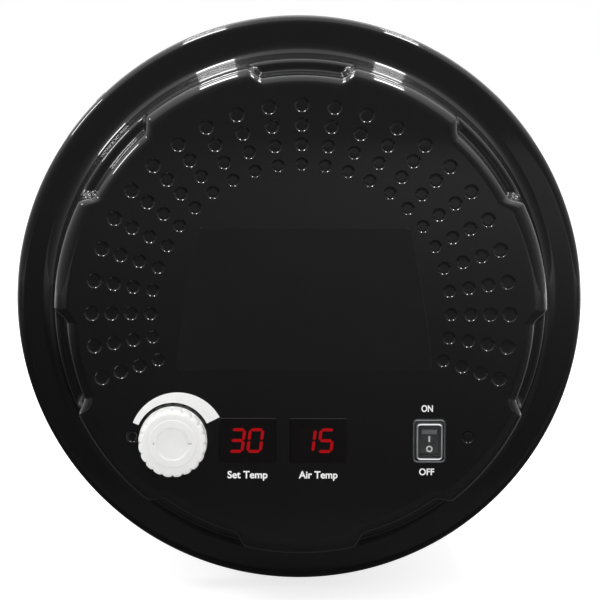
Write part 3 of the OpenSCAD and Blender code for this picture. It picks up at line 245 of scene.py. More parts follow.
def dished_panel():
    """Polar grid over the panel. In a dimple's cell of 16 by 16 steps each square ring is warped to a
    circle: the ring's number sets its share of the dimple's radius and its share of the depth."""
    half = ARCH_COLUMNS * ARCH_ANGLE / 2
    seat = SEAT_ANGLE - ARCH_ANGLE / 2
    spans = [(-half, half, ARCH_COLUMNS * CELL), (half, seat, SIDE_STEPS), (seat, seat + ARCH_ANGLE, CELL),
             (seat + ARCH_ANGLE, 360 - seat - ARCH_ANGLE, FOOT_STEPS),
             (360 - seat - ARCH_ANGLE, 360 - seat, CELL), (360 - seat, 360 - half, SIDE_STEPS)]
    degrees = np.concatenate([np.linspace(a, b, n, endpoint=False) for a, b, n in spans])
    low = ARCH_RADII[0] - ARCH_PITCH / 2
    bands = low + ARCH_PITCH * np.arange(ARCH_ROWS * CELL + 1) / CELL
    radii = np.concatenate([PLAIN_RADII, bands, [INNER_EDGE]])
    radius, turn = np.meshgrid(radii, np.radians(degrees), indexing="ij")
    right, up = radius * np.sin(turn), radius * np.cos(turn)
    sunk = np.zeros_like(right)
    step = np.arange(-CELL // 2, CELL // 2 + 1)
    across, over = np.meshgrid(step, step)
    ring = np.maximum(np.abs(across), np.abs(over))
    bent = ring < CELL // 2
    heading = np.arctan2(across, over)
    cells = [(r, c * CELL, ARCH_ANGLE * (c - ARCH_COLUMNS // 2), ARCH_RADII[r], DIMPLE_RADII[r], DIMPLE_DEPTH)
             for r in range(ARCH_ROWS) for c in range(ARCH_COLUMNS)]
    first_seat = ARCH_COLUMNS * CELL + SIDE_STEPS
    for column, angle in ((first_seat, SEAT_ANGLE), (first_seat + CELL + FOOT_STEPS, -SEAT_ANGLE)):
        cells.append((ARCH_ROWS - 1, column, angle, SEAT_OUT, SEAT_R, SEAT_DEPTH))
    for band, column, angle, distance, size, drop in cells:
        rows = len(PLAIN_RADII) + band * CELL + np.arange(CELL + 1)[:, None]
        columns = (column + np.arange(CELL + 1)[None, :]) % len(degrees)
        share = size * RING_REACH[np.minimum(ring, CELL // 2 - 1)]
        out = np.radians(angle)
        cx, cy = distance * math.sin(out), distance * math.cos(out)
        turned = heading + out
        right[rows, columns] = np.where(bent, cx + share * np.sin(turned), right[rows, columns])
        up[rows, columns] = np.where(bent, cy + share * np.cos(turned), up[rows, columns])
        sunk[rows, columns] = np.maximum(sunk[rows, columns], drop * RING_DEPTH[ring])
    up[:-1] -= ARCH_DROP
    front = in_place(right, up, sunk - PANEL_DEPTH)
    normal = np.cross(np.gradient(front, axis=0), np.roll(front, -1, 1) - np.roll(front, 1, 1))
    normal /= np.linalg.norm(normal, axis=2, keepdims=True)
    normal *= np.sign(-normal[0, 0, 1])
    normal[sunk == 0] = (0.0, -1.0, 0.0)
    back_radii = np.array([INNER_EDGE, INNER_EDGE, 60.0, 12.0])[:, None]
    back_depth = np.array([SHEET, BACK_DEPTH, BACK_DEPTH, BACK_DEPTH])[:, None]
    back = in_place(back_radii * np.sin(turn[:4]), back_radii * np.cos(turn[:4]), back_depth - PANEL_DEPTH)
    behind = np.broadcast_to(np.array([0.0, 1.0, 0.0]), back.shape)
    return np.concatenate([front, back]), np.concatenate([normal, behind])


panel_points, panel_normals = dished_panel()
cover_panel = skin("cover_panel", panel_points, first=True, last=True, normals=panel_normals)
for piece in (cover_pressing, cover_panel):
    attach(piece, "heater")
    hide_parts("rear_cover")


def linear(code, alpha=1.0):
    """sRGB hex colour to the linear values that a shader takes."""
    part = np.array([int(code[i:i + 2], 16) for i in (1, 3, 5)]) / 255.0
    value = np.where(part <= 0.04045, part / 12.92, ((part + 0.055) / 1.055) ** 2.4)
    return (*value.tolist(), alpha)


def add(tree, kind, settings=None, links=None):
    """Adds a shader node, sets its properties and unlinked inputs, and links sockets to its inputs."""
    node = tree.nodes.new("ShaderNode" + kind)
    for key, value in (settings or {}).items():
        if isinstance(key, str) and key not in node.inputs:
            setattr(node, key, value)
        else:
            node.inputs[key].default_value = value
    for key, socket in (links or {}).items():
        tree.links.new(socket, node.inputs[key])
    return node


def new_finish(name, **sockets):
    """Material with one Principled shader, whose constant sockets are given by name, with _ for a space,
    and the Object coordinates that its patterns read."""
    finish = bpy.data.materials.new(name)
    finish.use_nodes = True
    tree = finish.node_tree
    shader = tree.nodes["Principled BSDF"]
    for key, value in sockets.items():
        shader.inputs[key.replace("_", " ")].default_value = value
    return finish, tree, shader, add(tree, "TexCoord").outputs["Object"]


def vary(tree, shader, pattern, **ends):
    """Carries sockets of a shader from their first to their second end as a pattern goes from 0 to 1:
    two hex colours are mixed, and two numbers are mapped."""
    for key, (first, second) in ends.items():
        if isinstance(first, str):
            colours = {"data_type": "RGBA", 6: linear(first), 7: linear(second)}
            value = add(tree, "Mix", colours, {0: pattern}).outputs[2]
        else:
            value = add(tree, "MapRange", {"To Min": first, "To Max": second}, {"Value": pattern}).outputs[0]
        tree.links.new(value, shader.inputs[key.replace("_", " ")])


def per_mm(size):
    """Texture scale at which one noise or wave cell is about size millimetres wide."""
    return 1000.0 / size


# Stoved enamel: near black and wet looking, as a hard clear top layer mirrors the room over a duller
# pigmented one. It flows out before it sets, which leaves a faint orange peel of 3 mm.
enamel, tree, shader, spot = new_finish("stoved_gloss_enamel", IOR=1.42, Specular_IOR_Level=0.15,
                                        Coat_Weight=1.0, Coat_IOR=1.65, Coat_Roughness=0.045)
peel = add(tree, "TexNoise", {"Scale": per_mm(3.0), "Detail": 1.0}, {"Vector": spot})
drift = add(tree, "TexNoise", {"Scale": per_mm(60.0), "Detail": 2.0}, {"Vector": spot})
vary(tree, shader, drift.outputs["Fac"], Base_Color=("#060607", "#09090a"), Roughness=(0.36, 0.46))
bump = add(tree, "Bump", {"Strength": 0.02, "Distance": 0.00004}, {"Height": peel.outputs["Fac"]})
tree.links.new(bump.outputs[0], shader.inputs["Normal"])
tree.links.new(bump.outputs[0], shader.inputs["Coat Normal"])
for piece in (cover_pressing, cover_panel):
    piece.data.materials.append(enamel)

# Film on the middle of the panel: a bare die-cut sheet of black polyester, 0.12 mm thick, rolled on
# with its own adhesive. It lies flat but for a few soft wrinkles at the lower right. FILM_TOP and
# FILM_FOOT hold the height and the half width of those edges, which reach UNDER into the enamel.
FILM_TOP = (47.0, 60.0)
FILM_FOOT = (-34.4, 73.0)
FILM_BOW = 1.5
FILM_X = 2.0
FILM_T = 0.12
UNDER = 0.05
FILM_MIDDLE = (0.0, 6.0)
WRINKLES_AT = (62.0, -26.0)
WRINKLES_REACH = 18.0
WRINKLE_H = 0.008


def film_outline(count):
    """Points round the film: straight top and foot, sides that bow out by a parabola, from the top left."""
    share = np.linspace(0, 1, count, endpoint=False)
    both = np.concatenate([share, 1 - share])
    side = FILM_TOP[1] + (FILM_FOOT[1] - FILM_TOP[1]) * both + 4 * FILM_BOW * both * (1 - both)
    height = FILM_TOP[0] + (FILM_FOOT[0] - FILM_TOP[0]) * both
    top = np.stack([FILM_TOP[1] * (2 * share - 1), np.full(count, FILM_TOP[0])], -1)
    right = np.stack([side, height], -1)[:count]
    foot = np.stack([FILM_FOOT[1] * (1 - 2 * share), np.full(count, FILM_FOOT[0])], -1)
    left = np.stack([-side, height], -1)[count:]
    return np.concatenate([top, right, foot, left])


def film_sheet():
    """Rings of the outline drawn in towards the middle; wrinkles are two slanted sine waves whose height
    falls off as a Gaussian round their place at the lower right."""
    share = np.array([1.0, 1.0, 0.997, 0.99, 0.97, 0.94, 0.9, 0.85, 0.8, 0.74, 0.68, 0.6, 0.5, 0.38, 0.2])
    middle = np.array(FILM_MIDDLE)
    flat = middle + share[:, None, None] * (film_outline(60) - middle)
    x, y = flat[..., 0], flat[..., 1]
    apart = (x - WRINKLES_AT[0]) ** 2 + (y - WRINKLES_AT[1]) ** 2
    wave = np.sin(0.55 * x + 0.9 * y) + 0.6 * np.sin(1.1 * x - 0.5 * y)
    lift = FILM_T + WRINKLE_H * np.exp(-apart / WRINKLES_REACH ** 2) * wave
    lift[0] = -UNDER
    lift[1] = 0.6 * FILM_T
    return in_place(x + FILM_X, y, -PANEL_DEPTH - lift)


bare_film = skin("bare_film", film_sheet(), first=True, last=True)
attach(bare_film, "heater")
# Polyester film: a shade softer than the enamel, with a fine 1.2 mm calendered grain.
film, tree, shader, spot = new_finish("satin_polyester_film", IOR=1.45)
grain = add(tree, "TexNoise", {"Scale": per_mm(1.2), "Detail": 2.0}, {"Vector": spot})
scuff = add(tree, "TexNoise", {"Scale": per_mm(30.0), "Detail": 3.0}, {"Vector": spot})
vary(tree, shader, scuff.outputs["Fac"], Base_Color=("#131314", "#19191a"), Roughness=(0.08, 0.16))
bump = add(tree, "Bump", {"Strength": 0.05, "Distance": 0.00003}, {"Height": grain.outputs["Fac"]})
tree.links.new(bump.outputs[0], shader.inputs["Normal"])
bare_film.data.materials.append(film)

# Temperature scale round the knob: a white crescent screen-printed on the enamel, wider towards hot. Its
# inner edge is a circle about the knob, and its outer one a circle that is shifted to the right.
ROW_UP = -74.5
KNOB_X = -72.8
PRINT_T = 0.03
SCALE_IN = 21.5
SCALE_OUT = 27.4
SCALE_SHIFT = 2.6
SCALE_ENDS = (156.5, 26.5)


def prisms(name, outlines, low, high, place):
    """Closed prisms over flat outlines (count, corners, 2), from low to high, carried to the object by
    place(x, y, height)."""
    count, corners = outlines.shape[:2]
    flat = np.concatenate([outlines, outlines], 1)
    height = np.repeat([low, high], corners)
    points = place(flat[..., 0], flat[..., 1], height[None, :]).reshape(-1, 3)
    start = 2 * corners * np.arange(count)[:, None]
    ring = np.arange(corners)
    after = np.roll(ring, -1)
    sides = np.stack([ring, after, after + corners, ring + corners], -1)
    faces = (start[:, :, None] + sides[None]).reshape(-1, 4).tolist()
    faces += (start + ring[None, ::-1]).tolist()
    faces += (start + corners + ring[None]).tolist()
    return add_mesh(name, points, faces, smooth=False)


def on_panel(x, y, out):
    """Millimetres right and up from the middle of the panel, and out of its face."""
    return in_place(x, y, -PANEL_DEPTH - out)


def crescent(steps=90):
    """Polar outline about the knob: out along the shifted circle, where the distance solves the cosine
    rule, and back along the inner one."""
    turn = np.radians(np.linspace(*SCALE_ENDS, steps))
    outer = SCALE_SHIFT * np.cos(turn) + np.sqrt(SCALE_OUT ** 2 - (SCALE_SHIFT * np.sin(turn)) ** 2)
    distance = np.concatenate([outer, np.full(steps, SCALE_IN)])
    turn = np.concatenate([turn, turn[::-1]])
    return np.stack([KNOB_X + distance * np.cos(turn), ROW_UP + distance * np.sin(turn)], -1)[None]


heat_scale = prisms("heat_scale", crescent(), -UNDER, PRINT_T, on_panel)
# Screen ink: flat white, a little uneven where the mesh of the screen left its dots, which are drawn
# 1.5 mm wide so that they show.
ink, tree, shader, spot = new_finish("white_screen_ink", Roughness=0.5)
dots = add(tree, "TexNoise", {"Scale": per_mm(1.5), "Detail": 2.0}, {"Vector": spot})
vary(tree, shader, dots.outputs["Fac"], Base_Color=("#f4f4f3", "#fdfdfc"))

# Legends under the displays and round the switch, screen-printed in the same white ink. Each has its
# middle and its width, and the switch's two also have a height.
LEGENDS = (("Set Temp", -30.2, -94.95, 22.9), ("Air Temp", 10.2, -94.95, 22.2), ("ON", 72.3, -55.95, 6.6),
           ("OFF", 72.3, -92.4, 8.65))
CAPITALS = {"ON": 3.95, "OFF": 3.95}
LETTER = 5.8
LETTER_T = 0.04
LETTER_BOLD = 0.14
printed = [heat_scale]
for words, x, y, width in LEGENDS:
    letters = bpy.data.curves.new("letters", "FONT")
    letters.body = words
    letters.size = LETTER / 1000.0
    letters.extrude = LETTER_T / 1000.0
    letters.offset = LETTER_BOLD / 1000.0
    drawn = bpy.data.objects.new("legend", letters)
    bpy.context.scene.collection.objects.link(drawn)
    mesh = bpy.data.meshes.new_from_object(drawn.evaluated_get(bpy.context.evaluated_depsgraph_get()))
    bpy.data.objects.remove(drawn)
    flat = np.empty(3 * len(mesh.vertices))
    mesh.vertices.foreach_get("co", flat)
    flat = 1000.0 * flat.reshape(-1, 3)
    low, high = flat.min(0), flat.max(0)
    tall = high[1] - low[1]
    flat[:, 0] = (flat[:, 0] - (low[0] + high[0]) / 2) * width / (high[0] - low[0])
    flat[:, 1] = (flat[:, 1] - (low[1] + high[1]) / 2) * CAPITALS.get(words, tall) / tall
    mesh.vertices.foreach_set("co", on_panel(flat[:, 0] + x, flat[:, 1] + y, flat[:, 2]).ravel())
    legend = bpy.data.objects.new("legend_" + words.lower().replace(" ", "_"), mesh)
    bpy.context.scene.collection.objects.link(legend)
    printed.append(legend)
for piece in printed:
    piece.data.materials.clear()
    piece.data.materials.append(ink)
    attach(piece, "heater")

# Thermostat knob: white ABS, moulded with twenty lobes, a stepped face and a shallow dish, and pushed
# onto the potentiometer's spindle. Two small marks on the face are filled with grey.
KNOB_GAP = 0.4
KNOB_H = 17.0
KNOB_R = 19.5
KNOB_EDGE = 3.6
KNOB_STEP = 0.5
LOBES = 20
FLUTE = 0.8


def lobed_knob():
    """Profile of skirt, grip, stepped face and dish turned about the spindle. The grip's radius drops in
    narrow Gaussian grooves, one straight down, with a parabola between them that rounds each lobe; both
    fade out on the skirt and over the top edge."""
    ring = KNOB_H - KNOB_STEP
    profile = np.concatenate([
        [(3.2, 0.0), (10.0, 0.0), (KNOB_R - 0.5, 0.0)],
        arc((KNOB_R - 0.5, 0.5), 0.5, -90, 0, 4),
        [(KNOB_R, up) for up in (1.8, 2.5, 2.8, 3.1, 3.4, 3.7, 6.0, 9.0, 12.0)],
        arc((KNOB_R - KNOB_EDGE, ring - KNOB_EDGE), KNOB_EDGE, 0, 88, 14),
        [(14.2, ring), (13.75, ring), (13.65, ring + 0.04), (13.55, KNOB_H - 0.06)],
        [(13.4, KNOB_H), (12.9, KNOB_H), (10.0, KNOB_H)],
        arc((9.6, KNOB_H - 0.3), 0.3, 90, 150, 3),
        [(9.1, KNOB_H - 0.5), (8.6, KNOB_H - 0.65), (7.5, KNOB_H - 0.72), (4.0, KNOB_H - 0.8)],
        [(1.0, KNOB_H - 0.82)],
    ])
    turn = np.linspace(0, 2 * math.pi, LOBES * 24, endpoint=False)
    from_groove = (turn * LOBES / (2 * math.pi) + 0.5) % 1 - 0.5
    groove = 0.85 * np.exp(-(from_groove / 0.13) ** 2) + 0.22 * (1 - (2 * from_groove) ** 2)
    radius, height = profile[:, :1], profile[:, 1:]
    grip = smoothstep(2.6, 3.6, height) * smoothstep(16.6, 19.0, radius)
    radius = radius - FLUTE * grip * groove
    return on_panel(KNOB_X - radius * np.sin(turn), ROW_UP - radius * np.cos(turn), KNOB_GAP + height)


knob = skin("lobed_knob", lobed_knob(), first=True, last=True)
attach(knob, "knob")
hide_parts("thermostat_knob")
# White ABS: even and slightly translucent, with a 0.8 mm spark-eroded texture that softens its gloss.
abs_white, tree, shader, spot = new_finish("moulded_white_ABS", IOR=1.53, Subsurface_Weight=0.05,
                                           Subsurface_Scale=0.002)
spark = add(tree, "TexNoise", {"Scale": per_mm(0.8), "Detail": 2.0}, {"Vector": spot})
cloud = add(tree, "TexNoise", {"Scale": per_mm(14.0), "Detail": 2.0}, {"Vector": spot})
vary(tree, shader, cloud.outputs["Fac"], Base_Color=("#ebebe9", "#f2f2f0"))
vary(tree, shader, spark.outputs["Fac"], Roughness=(0.32, 0.46))
bump = add(tree, "Bump", {"Strength": 0.08, "Distance": 0.00004}, {"Height": spark.outputs["Fac"]})
tree.links.new(bump.outputs[0], shader.inputs["Normal"])
knob.data.materials.append(abs_white)


def bars(boxes):
    """Rectangles given by their middle, width and height, as outlines."""
    boxes = np.array(boxes, float)
    corner = np.array([(-0.5, -0.5), (0.5, -0.5), (0.5, 0.5), (-0.5, 0.5)])
    return boxes[:, None, :2] + corner * boxes[:, None, 2:]


KNOB_MARKS = [(KNOB_X + 9.9, ROW_UP + 0.2, 2.2, 0.7), (KNOB_X - 10.6, ROW_UP + 0.2, 1.0, 1.0)]
MARK_DEPTH = 0.1
MARK_PROUD = 0.02
knob_face = KNOB_GAP + KNOB_H
marks = prisms("knob_marks", bars(KNOB_MARKS), knob_face - MARK_DEPTH, knob_face + MARK_PROUD, on_panel)
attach(marks, "knob")
# Filling paint: dull grey, with brush marks of 0.5 mm.
fill, tree, shader, spot = new_finish("grey_filling_paint", Roughness=0.55)
streak = add(tree, "TexNoise", {"Scale": per_mm(0.5)}, {"Vector": spot})
vary(tree, shader, streak.outputs["Fac"], Base_Color=("#aaabab", "#bbbcbc"))
marks.data.materials.append(fill)

# Display windows: two lids of smoked acrylic with polished bevels, snapped into the panel. Red seven
# segment figures shine through them, 14.2 mm high and slanted, with the unlit segments barely showing.
WINDOW = (32.5, 25.9)
WINDOW_PROUD = 0.8
WINDOW_X = {"set_window": -30.2, "room_window": 10.2}


def rounded(width, height, radius, corner_steps=6):
    """Outline of a rectangle with round corners, anticlockwise from the lower right."""
    reach = np.array([width / 2 - radius, height / 2 - radius])
    middles = np.array([(1, -1), (1, 1), (-1, 1), (-1, -1)]) * reach
    turn = np.radians(np.linspace(0, 90, corner_steps) + np.array([-90, 0, 90, 180])[:, None])
    return (middles[:, None] + radius * np.stack([np.cos(turn), np.sin(turn)], -1)).reshape(-1, 2)


def lid(x):
    """Rounded rectangles stacked from the seat to the face, drawn in by 0.5 mm over the bevel. A level
    holds how far its rectangle is drawn in and how far it stands out of the panel."""
    levels = np.array([(0.0, -0.3), (0.0, 0.25), (0.04, 0.36), (0.42, WINDOW_PROUD - 0.04),
                       (0.5, WINDOW_PROUD), (3.0, WINDOW_PROUD)])
    rings = np.array([rounded(WINDOW[0] - 2 * inset, WINDOW[1] - 2 * inset, max(0.8 - inset / 2, 0.3))
                      for inset in levels[:, 0]])
    return on_panel(rings[..., 0] + x, rings[..., 1] + ROW_UP, levels[:, 1:])


# Smoked acrylic: nearly black and polished, with soft wiping marks about 6 mm wide.
acrylic, tree, shader, spot = new_finish("smoked_acrylic", IOR=1.49)
wipe = add(tree, "TexNoise", {"Scale": per_mm(6.0), "Detail": 4.0}, {"Vector": spot})
vary(tree, shader, wipe.outputs["Fac"], Base_Color=("#0b0909", "#0e0b0c"), Roughness=(0.04, 0.12))
for node, x in WINDOW_X.items():
    window = skin("lid_" + node, lid(x), first=True, last=True, smooth=False)
    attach(window, "heater")
    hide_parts(node)
    window.data.materials.append(acrylic)

DIGIT = (8.9, 14.2)
DIGIT_X = (-6.0, 4.4)
STROKE = 1.75
SEGMENT_GAP = 0.16
SLANT = 0.12
FIGURE_DEPTH = 0.1
FIGURE_PROUD = 0.015
SEGMENTS = {0: "abcdef", 1: "bc", 3: "abcdg", 5: "acdfg"}


def segment(name):
    """Six-cornered bar of one segment, about the digit's middle, before it is slanted."""
    half = STROKE / 2
    w, h = DIGIT[0] / 2 - half, DIGIT[1] / 2 - half
    place = {"a": (0, h), "b": (w, h / 2), "c": (w, -h / 2), "d": (0, -h), "e": (-w, -h / 2),
             "f": (-w, h / 2), "g": (0, 0)}
    level = name in "adg"
    reach = (w if level else h / 2) - SEGMENT_GAP
    neck = reach - half
    bar = np.array([(-reach, 0), (-neck, -half), (neck, -half), (reach, 0), (neck, half), (-neck, half)])
    if not level:
        bar = bar[:, ::-1] * np.array([-1, 1])
    return bar + np.array(place[name])


def figures(x, digits, lit):
    """Outlines of the lit or the unlit segments of two digits, sheared to lean right."""
    outlines = []
    for shift, digit in zip(DIGIT_X, digits):
        names = [s for s in "abcdefg" if (s in SEGMENTS[digit]) == lit]
        outlines += [segment(s) + np.array([shift, 0.0]) for s in names]
    outlines = np.array(outlines)
    outlines[..., 0] += SLANT * outlines[..., 1] + x
    outlines[..., 1] += ROW_UP
    return outlines


# Lit LED segment: saturated red that glows evenly; an unlit one is a dark wine-red diffuser.
led_on, tree, shader, spot = new_finish("red_LED_lit", Base_Color=linear("#120001"), Roughness=0.4,
                                        Specular_IOR_Level=0.1, Emission_Strength=1.0)
even = add(tree, "TexNoise", {"Scale": per_mm(2.0)}, {"Vector": spot})
vary(tree, shader, even.outputs["Fac"], Emission_Color=("#960a0f", "#a60c12"))
led_off, tree, shader, spot = new_finish("red_LED_unlit", Roughness=0.15)
even = add(tree, "TexNoise", {"Scale": per_mm(2.0)}, {"Vector": spot})
vary(tree, shader, even.outputs["Fac"], Base_Color=("#0d0909", "#100a0a"))
for node, digits in (("set_window", (3, 0)), ("room_window", (1, 5))):
    for lit, glow in ((True, led_on), (False, led_off)):
        name = node.replace("window", "lit" if lit else "unlit")
        outlines = figures(WINDOW_X[node], digits, lit)
        low, high = WINDOW_PROUD - FIGURE_DEPTH, WINDOW_PROUD + FIGURE_PROUD
        face = prisms(name, outlines, low, high, on_panel)
        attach(face, "heater")
        face.data.materials.append(glow)

# Mains switch: a black nylon rocker in a snap-in bezel, with a grey bar and the two signs printed on
# its hollow face. The rocker stands at ON, with its upper half pressed in.
SWITCH_X = 73.6
PIVOT_BACK = 2.5
ROCKER_TILT = math.radians(9.0)
ROCKER_RISE = 5.0
ROCKER_HALF = 7.31
ROCKER_DIP = 1.4
BAR_BOX = (0.0, 4.6, 8.7, 2.4)
ONE_BOX = (0.0, 0.6, 0.95, 3.3)
RING_Y = -5.1
RING_RADII = (1.1, 1.85)
PAD_T = 0.03


def on_rocker(x, y, out):
    """Point over the rocker's hollow face: the face is a parabola across the pivot, then tilted."""
    face = ROCKER_RISE - ROCKER_DIP * (1 - (y / ROCKER_HALF) ** 2) + out
    up = y * math.cos(ROCKER_TILT) + face * math.sin(ROCKER_TILT)
    away = face * math.cos(ROCKER_TILT) - y * math.sin(ROCKER_TILT)
    return on_panel(SWITCH_X + x, ROW_UP + up, away - PIVOT_BACK)


def ring_sign():
    """Rectangular section turned to a flat ring 3.7 mm across, on the rocker's lower half."""
    turn = np.linspace(0, 2 * math.pi, 40, endpoint=False)
    radius = np.array([RING_RADII[0], RING_RADII[1], RING_RADII[1], RING_RADII[0]])[:, None]
    out = np.array([-PAD_T, -PAD_T, PAD_T, PAD_T])[:, None]
    return on_rocker(radius * np.cos(turn), radius * np.sin(turn) + RING_Y, out + 0 * turn)


signs = [
    prisms("rocker_bar", bars([BAR_BOX]), -UNDER, PAD_T, on_rocker),
    prisms("rocker_one", bars([ONE_BOX]), -UNDER, PAD_T, on_rocker),
    skin("rocker_ring", ring_sign(), ring=True, smooth=False),
]
# Pad-printing ink on nylon: near white signs and a grey bar, thin enough to show a 0.6 mm mottle.
BAR_TONES = ("#6a6b6d", "#757678")
SIGN_TONES = ("#ececec", "#f6f6f6")
for piece, tones in zip(signs, (BAR_TONES, SIGN_TONES, SIGN_TONES)):
    paint, tree, shader, spot = new_finish("pad_ink_" + piece.name, Roughness=0.5)
    mottle = add(tree, "TexNoise", {"Scale": per_mm(0.6)}, {"Vector": spot})
    vary(tree, shader, mottle.outputs["Fac"], Base_Color=tones)
    piece.data.materials.append(paint)
    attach(piece, "rocker")


def wear(names, finish):
    """Gives the CAD nodes named the finish."""
    for name in names:
        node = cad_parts[name]
        if node.material_slots:
            node.material_slots[0].material = finish
        else:
            node.data.materials.append(finish)


# Black nylon: satin, with a 0.7 mm moulded grain.
nylon, tree, shader, spot = new_finish("moulded_black_nylon", IOR=1.5)
grain = add(tree, "TexNoise", {"Scale": per_mm(0.7), "Detail": 2.0}, {"Vector": spot})
vary(tree, shader, grain.outputs["Fac"], Base_Color=("#1a1b1c", "#212223"), Roughness=(0.34, 0.5))
bump = add(tree, "Bump", {"Strength": 0.12, "Distance": 0.00005}, {"Height": grain.outputs["Fac"]})
tree.links.new(bump.outputs[0], shader.inputs["Normal"])
wear(("control_bracket", "switch_housing", "switch_rocker", "cable_gland", "gland_nut",
      "ignition_transformer", "flame_sensor"), nylon)

# Splash boot: clear soft PVC, dip moulded 0.6 mm thick and held under the bezel. Its foot lies on the
# panel and its dome stands clear of the rocker at both ends of its swing.
BOOT = (19.3, 25.8)
BOOT_RISE = FLANGE_Y - PANEL_DEPTH - 1000.0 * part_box("switch_boot")[0].y


def clear_dome():
    """Rounded rectangles lofted from the foot over the shoulder to the top, and back down inside. A level
    holds its rectangle's width, height and corner, and how far it stands out of the panel."""
    top = BOOT_RISE
    outer = [(*BOOT, 2.6, 0.02), (*BOOT, 2.6, 0.6), (BOOT[0] - 0.4, BOOT[1] - 0.4, 2.4, 0.9),
             (17.8, 24.1, 2.2, 1.0), (17.4, 23.7, 2.2, 1.2), (16.0, 22.2, 2.2, top - 1.4),
             (15.2, 21.3, 2.2, top - 0.5), (14.4, 20.4, 2.0, top - 0.1), (13.4, 19.4, 1.8, top),
             (6.0, 12.0, 1.6, top)]
    inner = [(6.0, 12.0, 1.5, top - 0.6), (13.0, 19.0, 1.6, top - 0.6), (14.0, 20.1, 1.6, top - 0.8),
             (15.0, 21.2, 1.6, top - 1.6), (16.0, 22.3, 1.6, 1.0), (16.0, 22.3, 1.6, 0.02)]
    levels = np.array(outer[::-1] + inner[::-1])
    rings = np.array([rounded(w, h, r) for w, h, r, _ in levels])
    return on_panel(rings[..., 0] + SWITCH_X, rings[..., 1] + ROW_UP, levels[:, 3:])


boot = skin("clear_dome", clear_dome(), first=True, last=True)
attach(boot, "heater")
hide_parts("switch_boot")
# Soft PVC: a thin clear film that lets the rocker show, with a slight grey cast and a gently uneven gloss
# from dipping.
pvc, tree, shader, spot = new_finish("clear_soft_PVC", IOR=1.5, Alpha=0.13)
run = add(tree, "TexNoise", {"Scale": per_mm(5.0), "Detail": 1.0}, {"Vector": spot})
vary(tree, shader, run.outputs["Fac"], Base_Color=("#58595a", "#6a6b6c"), Roughness=(0.06, 0.14))
bump = add(tree, "Bump", {"Strength": 0.15, "Distance": 0.0003}, {"Height": run.outputs["Fac"]})
tree.links.new(bump.outputs[0], shader.inputs["Normal"])
boot.data.materials.append(pvc)


def boot_bead(width, height, radius, out, thick):
    """Round section carried along a rounded rectangle: at each point the section lies in the plane of
    the panel's normal and the outward direction, and out is how far its middle stands off the panel."""
    turn = np.linspace(0, 2 * math.pi, 12, endpoint=False)[:, None]
    path = rounded(width, height, radius, 8)
    ahead = np.roll(path, -1, 0) - np.roll(path, 1, 0)
    away = np.stack([ahead[:, 1], -ahead[:, 0]], -1) / np.linalg.norm(ahead, axis=1)[:, None]
    flat = path[None] + thick * np.cos(turn)[..., None] * away[None]
    height = out + thick * np.sin(turn) + 0 * flat[..., 0]
    return on_panel(flat[..., 0] + SWITCH_X, flat[..., 1] + ROW_UP, height)


# Where the PVC is thick, in the bead round the dome and at its foot, it turns milky, and the beads' pale grey
# also stands in for the highlight along the dome's edge, so it is partly milky PVC and partly painted
# highlight. Each bead is whitest over the last 1.2 mm at the upper and the lower end, a painted highlight
# where light from above and below catches it.
RIM_BEAD = (13.9, 19.9, 1.9, BOOT_RISE - 0.1, 0.45)
FOOT_BEAD = (17.5, 23.8, 2.2, 1.0, 0.35)
HIGHLIGHT_END = 1.2
for name, sizes, tones, highlight_tone in (("boot_rim_bead", RIM_BEAD, ("#707274", "#8c8e90"), "#f2f3f4"),
                                    ("boot_foot_bead", FOOT_BEAD, ("#4a4c4e", "#5e6062"), "#8e9092")):
    bead = skin(name, boot_bead(*sizes), ring=True)
    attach(bead, "heater")
    milky_and_highlit, tree, shader, spot = new_finish("milky_" + name, IOR=1.4)
    cloud = add(tree, "TexNoise", {"Scale": per_mm(4.0), "Detail": 2.0}, {"Vector": spot})
    vary(tree, shader, cloud.outputs["Fac"], Base_Color=tones, Roughness=(0.12, 0.22))
    shade = shader.inputs["Base Color"].links[0].from_socket
    # Painted highlight: over the last 1.2 mm at the bead's top and bottom, the colour turns to its whitened
    # end tone.
    height = add(tree, "SeparateXYZ", None, {0: spot}).outputs["Z"]
    apart = add(tree, "Math", {"operation": "SUBTRACT", 1: (AXIS_UP + ROW_UP) / 1000.0}, {0: height})
    apart = add(tree, "Math", {"operation": "ABSOLUTE"}, {0: apart.outputs[0]})
    half = sizes[1] / 2
    end = add(tree, "MapRange", {"From Min": (half - HIGHLIGHT_END) / 1000.0, "From Max": half / 1000.0},
              {"Value": apart.outputs[0]})
    tone = add(tree, "Mix", {"data_type": "RGBA", 7: linear(highlight_tone)}, {0: end.outputs[0], 6: shade})
    tree.links.new(tone.outputs[2], shader.inputs["Base Color"])
    bead.data.materials.append(milky_and_highlit)

# Fasteners: machine screws and rivets of steel, blackened in an oxide bath that leaves a soft grey
# sheen on the edges. The two panel screws are enamelled with the cover.
oxide, tree, shader, spot = new_finish("black_oxide_steel", Metallic=1.0)
bath = add(tree, "TexNoise", {"Scale": per_mm(1.5), "Detail": 3.0}, {"Vector": spot})
vary(tree, shader, bath.outputs["Fac"], Base_Color=("#2b2c2e", "#3d3e40"), Roughness=(0.35, 0.55))
wear(("cover_rivets", "drum_screws"), oxide)
wear(("panel_screws",), enamel)

